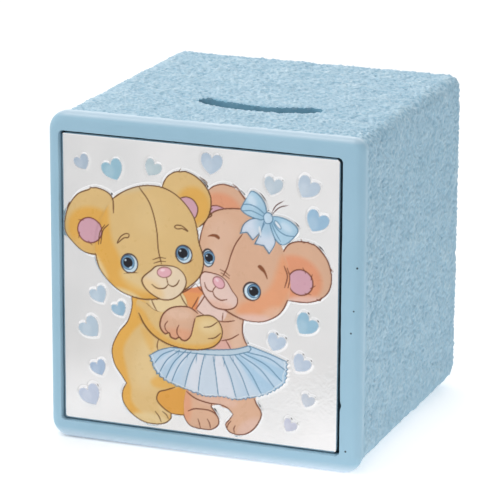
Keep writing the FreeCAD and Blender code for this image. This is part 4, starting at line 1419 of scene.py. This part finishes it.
def foam_material():
    n = new_material("foam_tape")
    cells = n.add("ShaderNodeTexVoronoi")
    cells.inputs["Scale"].default_value = 2600
    n.link(n.place(), cells.inputs["Vector"])
    n.set(base=n.mix(cells.outputs["Distance"], linear(226, 226, 222), linear(244, 244, 240)), rough=0.9)
    n.bump(cells.outputs["Distance"], 0.6, 0.15)
    return n.owner


def floor_material():
    """White sweep, greyer in front and on the left, with painted light: a glow that keeps it white and
    fills the cube's shadow, strongest on the shaded right.
    """
    n = new_material("studio_floor")
    place = n.split(n.place())
    across, along = place["X"], place["Y"]
    slant = n.math("SUBTRACT", across, n.math("MULTIPLY", along, FLOOR_SLANT))
    left = n.math("ADD", across, n.math("MULTIPLY", along, FLOOR_LEFT_SLANT))
    seen = n.math("MULTIPLY", n.ramp(along, *FLOOR_FRONT), n.ramp(left, *FLOOR_LEFT))
    white = n.patchy(6, 2, linear(250, 250, 250), linear(253, 253, 253))
    far = n.mix(n.ramp(slant, *FLOOR_GREY_RUN), FLOOR_GREY, FLOOR_PALE)
    n.set(base=n.mix(seen, far, white), rough=0.9)
    shaded = n.ramp(n.distance(POOL_AT), *POOL_REACH, 1.0, 0.0)
    glow = n.math("ADD", n.math("MULTIPLY", seen, FLOOR_GLOW), n.math("MULTIPLY", shaded, POOL_GLOW))
    n.link(n.mix(shaded, FLOOR_GLOW_TINT, POOL_TINT), n.shader.inputs["Emission Color"])
    n.link(glow, n.shader.inputs["Emission Strength"])
    return n.owner


def repaint(node, material):
    """Gives a CAD node a material in every slot."""
    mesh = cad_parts[node].data
    for slot_number in range(len(mesh.materials)):
        mesh.materials[slot_number] = material
    if not len(mesh.materials):
        mesh.materials.append(material)


# ======================================================================================
# Studio
# ======================================================================================

CAMERA_AT = (0.2634, -0.6915, 0.2536)
CAMERA_TURN = (73.98, -0.29, 21.12)
CAMERA_LENS = 225.6
SENSOR_WIDTH = 36
FLOOR_REACH = 6000
FLOOR_LAP_SIDES = 7.4
FLOOR_LAP_ENDS = 4.0
FLOOR_Z = -0.02
# The surroundings' brightness low down, high up and on the right, and the directions' Z and X between.
WORLD_LOW = 1.3
WORLD_HIGH = 0.8
WORLD_RISE = (0.1, 0.85)
WORLD_RIGHT = 0.7
WORLD_SIDE = (0.1, 0.8)
# Bright and dark patches of the surroundings: strength, direction, and outer and inner angle.
BACK_GLOW = 1.0
BACK_GLOW_TOWARD = (-0.34, 0.9, 0.45)
BACK_GLOW_CONE = (45, 20)
FRONT_FILL = 0.22
FRONT_FILL_TOWARD = (-0.35, -0.85, 0.35)
FRONT_FILL_CONE = (60, 25)
CAMERA_DARK = 0.03
CAMERA_CONE = (13, 8)
LAMP_AT = (-0.42, -0.25, 1.15)
LAMP_TARGET = (0, 0, 0.04)
LAMP_SIZE = 0.6
LAMP_POWER = 4.5
LAMP_TINT = (1.0, 0.96, 0.93)
# The white floor round the cube, in metres: slopes of its slanting edges, and its soft borders.
FLOOR_SLANT = 0.45
FLOOR_LEFT_SLANT = 0.49
FLOOR_FRONT = (-0.11, -0.082)
FLOOR_LEFT = (-0.112, -0.076)
FLOOR_GREY_RUN = (-0.015, 0.03)
# Painted light on the floor: the strength and tint of its glow, and of the stronger glow that fills the
# cube's shadow on the right, with its middle and reach.
FLOOR_GLOW = 0.10
FLOOR_GLOW_TINT = (0.86, 0.94, 1.0, 1.0)
POOL_GLOW = 0.42
POOL_TINT = (1.0, 0.93, 0.88, 1.0)
POOL_AT = (0.08, -0.01, 0)
POOL_REACH = (0.03, 0.12)


def add_camera():
    data = bpy.data.cameras.new("camera")
    data.lens = CAMERA_LENS
    data.sensor_width = SENSOR_WIDTH
    camera = bpy.data.objects.new("camera", data)
    camera.location = CAMERA_AT
    camera.rotation_euler = Euler([math.radians(a) for a in CAMERA_TURN])
    bpy.context.scene.collection.objects.link(camera)
    bpy.context.scene.camera = camera


def add_lamp():
    """One soft square lamp, high up on the left."""
    data = bpy.data.lights.new("top", "AREA")
    data.size = LAMP_SIZE
    data.energy = LAMP_POWER
    data.color = LAMP_TINT
    lamp = bpy.data.objects.new("top", data)
    lamp.location = LAMP_AT
    away = Vector(LAMP_AT) - Vector(LAMP_TARGET)
    lamp.rotation_euler = away.to_track_quat("Z", "Y").to_euler()
    bpy.context.scene.collection.objects.link(lamp)


def add_floor():
    """A wide floor, open only under the cube, so that its underside can be seen from below."""
    corners = [(-1, -1), (1, -1), (1, 1), (-1, 1)]
    wide, deep = SHELL_HIGH[0] - FLOOR_LAP_SIDES, BACK_Y - FLOOR_LAP_ENDS
    points = [(x * FLOOR_REACH, y * FLOOR_REACH, FLOOR_Z) for x, y in corners]
    points += [(x * wide, y * deep, FLOOR_Z) for x, y in corners]
    faces = [(k, (k + 1) % 4, 4 + (k + 1) % 4, 4 + k) for k in range(4)]
    floor = mesh_object("floor", points, faces, smooth=False)
    floor.data.materials.append(floor_material())


def add_world():
    """Soft white surroundings: dimmer up high and on the right, bright behind, dark at the camera."""
    world = bpy.data.worlds.new("studio")
    n = Nodes(world)
    n.tree.nodes.clear()
    direction = n.add("ShaderNodeTexCoord").outputs["Generated"]
    toward = n.split(direction)
    height = n.ramp(toward["Z"], *WORLD_RISE, WORLD_LOW, WORLD_HIGH)
    shade = n.ramp(toward["X"], *WORLD_SIDE, 1.0, WORLD_RIGHT)
    glow = n.cone(direction, BACK_GLOW_TOWARD, *BACK_GLOW_CONE, 0.0, BACK_GLOW)
    fill = n.cone(direction, FRONT_FILL_TOWARD, *FRONT_FILL_CONE, 0.0, FRONT_FILL)
    light = n.math("ADD", n.math("MULTIPLY", height, shade), n.math("ADD", glow, fill))
    dark = n.cone(direction, CAMERA_AT, *CAMERA_CONE, 1.0, CAMERA_DARK)
    around = n.add("ShaderNodeBackground")
    n.link(n.math("MULTIPLY", light, dark), around.inputs["Strength"])
    backdrop = n.add("ShaderNodeBackground")
    mix = n.add("ShaderNodeMixShader")
    n.link(n.add("ShaderNodeLightPath").outputs["Is Camera Ray"], mix.inputs[0])
    n.link(around.outputs[0], mix.inputs[1])
    n.link(backdrop.outputs[0], mix.inputs[2])
    n.link(mix.outputs[0], n.add("ShaderNodeOutputWorld").inputs["Surface"])
    bpy.context.scene.world = world


# ======================================================================================
# Putting it together
# ======================================================================================

# How far faces may lie from where each paint begins.
HAIR = 0.01
INSIDE_MARGIN = 0.1
POCKET_MARGIN = 0.4
# Depth behind the plaque's front from which the pocket takes its painted shade.
POCKET_SHADE_DEPTH = 1.3
SLOT_MARGIN = 0.35
# Depth below the top from which the slot takes the darker overspray, which is painted shade.
SLOT_PAINT_DEPTH = 0.25

# Each printed piece's slot, and how fine the mottle of its ink is.
INKS = {
    "left_bear_relief": ("print_yellow", 260),
    "right_bear_relief": ("print_tan", 300),
    "skirt_relief": ("print_pale_blue", 420),
    "bow_relief": ("print_bow_blue", 480),
    "heart_reliefs": ("print_heart", 520),
}


def stand_in(thing, node, material):
    """A finished piece takes the CAD node's place on the cube."""
    thing.data.materials.clear()
    thing.data.materials.append(material)
    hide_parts(node)
    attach(thing, "cube")


def paint_by_place(cube):
    """Painted shade: dark paint deep in the pocket, and thin overspray, darker than the outer paint, inside
    the slot and the hollow.
    """
    cube.data.materials.append(pocket_shade_material())
    cube.data.materials.append(inside_material())
    count = len(cube.data.polygons)
    centres = np.empty(count * 3)
    cube.data.polygons.foreach_get("center", centres)
    x, y, z = centres.reshape(-1, 3).T / MM
    pocket = (x > POCKET_LEFT - POCKET_MARGIN) & (x < POCKET_RIGHT + POCKET_MARGIN)
    pocket &= (z > POCKET_LOW - POCKET_MARGIN) & (z < POCKET_HIGH + POCKET_MARGIN)
    pocket &= (y > FOIL_LOW[1] + POCKET_SHADE_DEPTH) & (y < POCKET_FLOOR_Y + HAIR)
    reach = LEDGE + INSIDE_MARGIN
    hollow = (z > HAIR) & (z < HEIGHT - WALL + INSIDE_MARGIN) & (np.abs(x) < SHELL_HIGH[0] - WALL + reach)
    hollow &= (y > FRONT_Y + FRONT_WALL - reach) & (y < BACK_Y - WALL + reach)
    outline_of_slot = slot_outline()
    over = near(x, y, outline_of_slot, 1.0)
    slot = np.zeros(count, bool)
    slot[over] = signed_distance(x[over], y[over], outline_of_slot) < SLOT_MARGIN
    slot &= (z > HEIGHT - WALL - INSIDE_MARGIN) & (z < HEIGHT - COAT_SINK - SLOT_PAINT_DEPTH)
    paint = np.where(pocket, 1, np.where(hollow | slot, 2, 0))
    cube.data.polygons.foreach_set("material_index", paint.astype(np.int32))


def main():
    noise.seed_set(NOISE_SEED)
    bpy.context.scene.view_settings.view_transform = "Standard"
    add_camera()
    add_world()
    add_lamp()
    add_floor()

    cube = make_cube()
    stand_in(cube, "cube_shell", paint_material())
    paint_by_place(cube)
    foil, prints = make_plaque()
    stand_in(foil, "plaque_foil", foil_material())
    for node, (slot, grain) in INKS.items():
        stand_in(prints[node], node, ink_material(slot, grain))
    repaint("base_panel", panel_material())
    repaint("stopper", rubber_material())
    repaint("plaque_backing", board_material())
    repaint("plaque_tape", foam_material())


main()
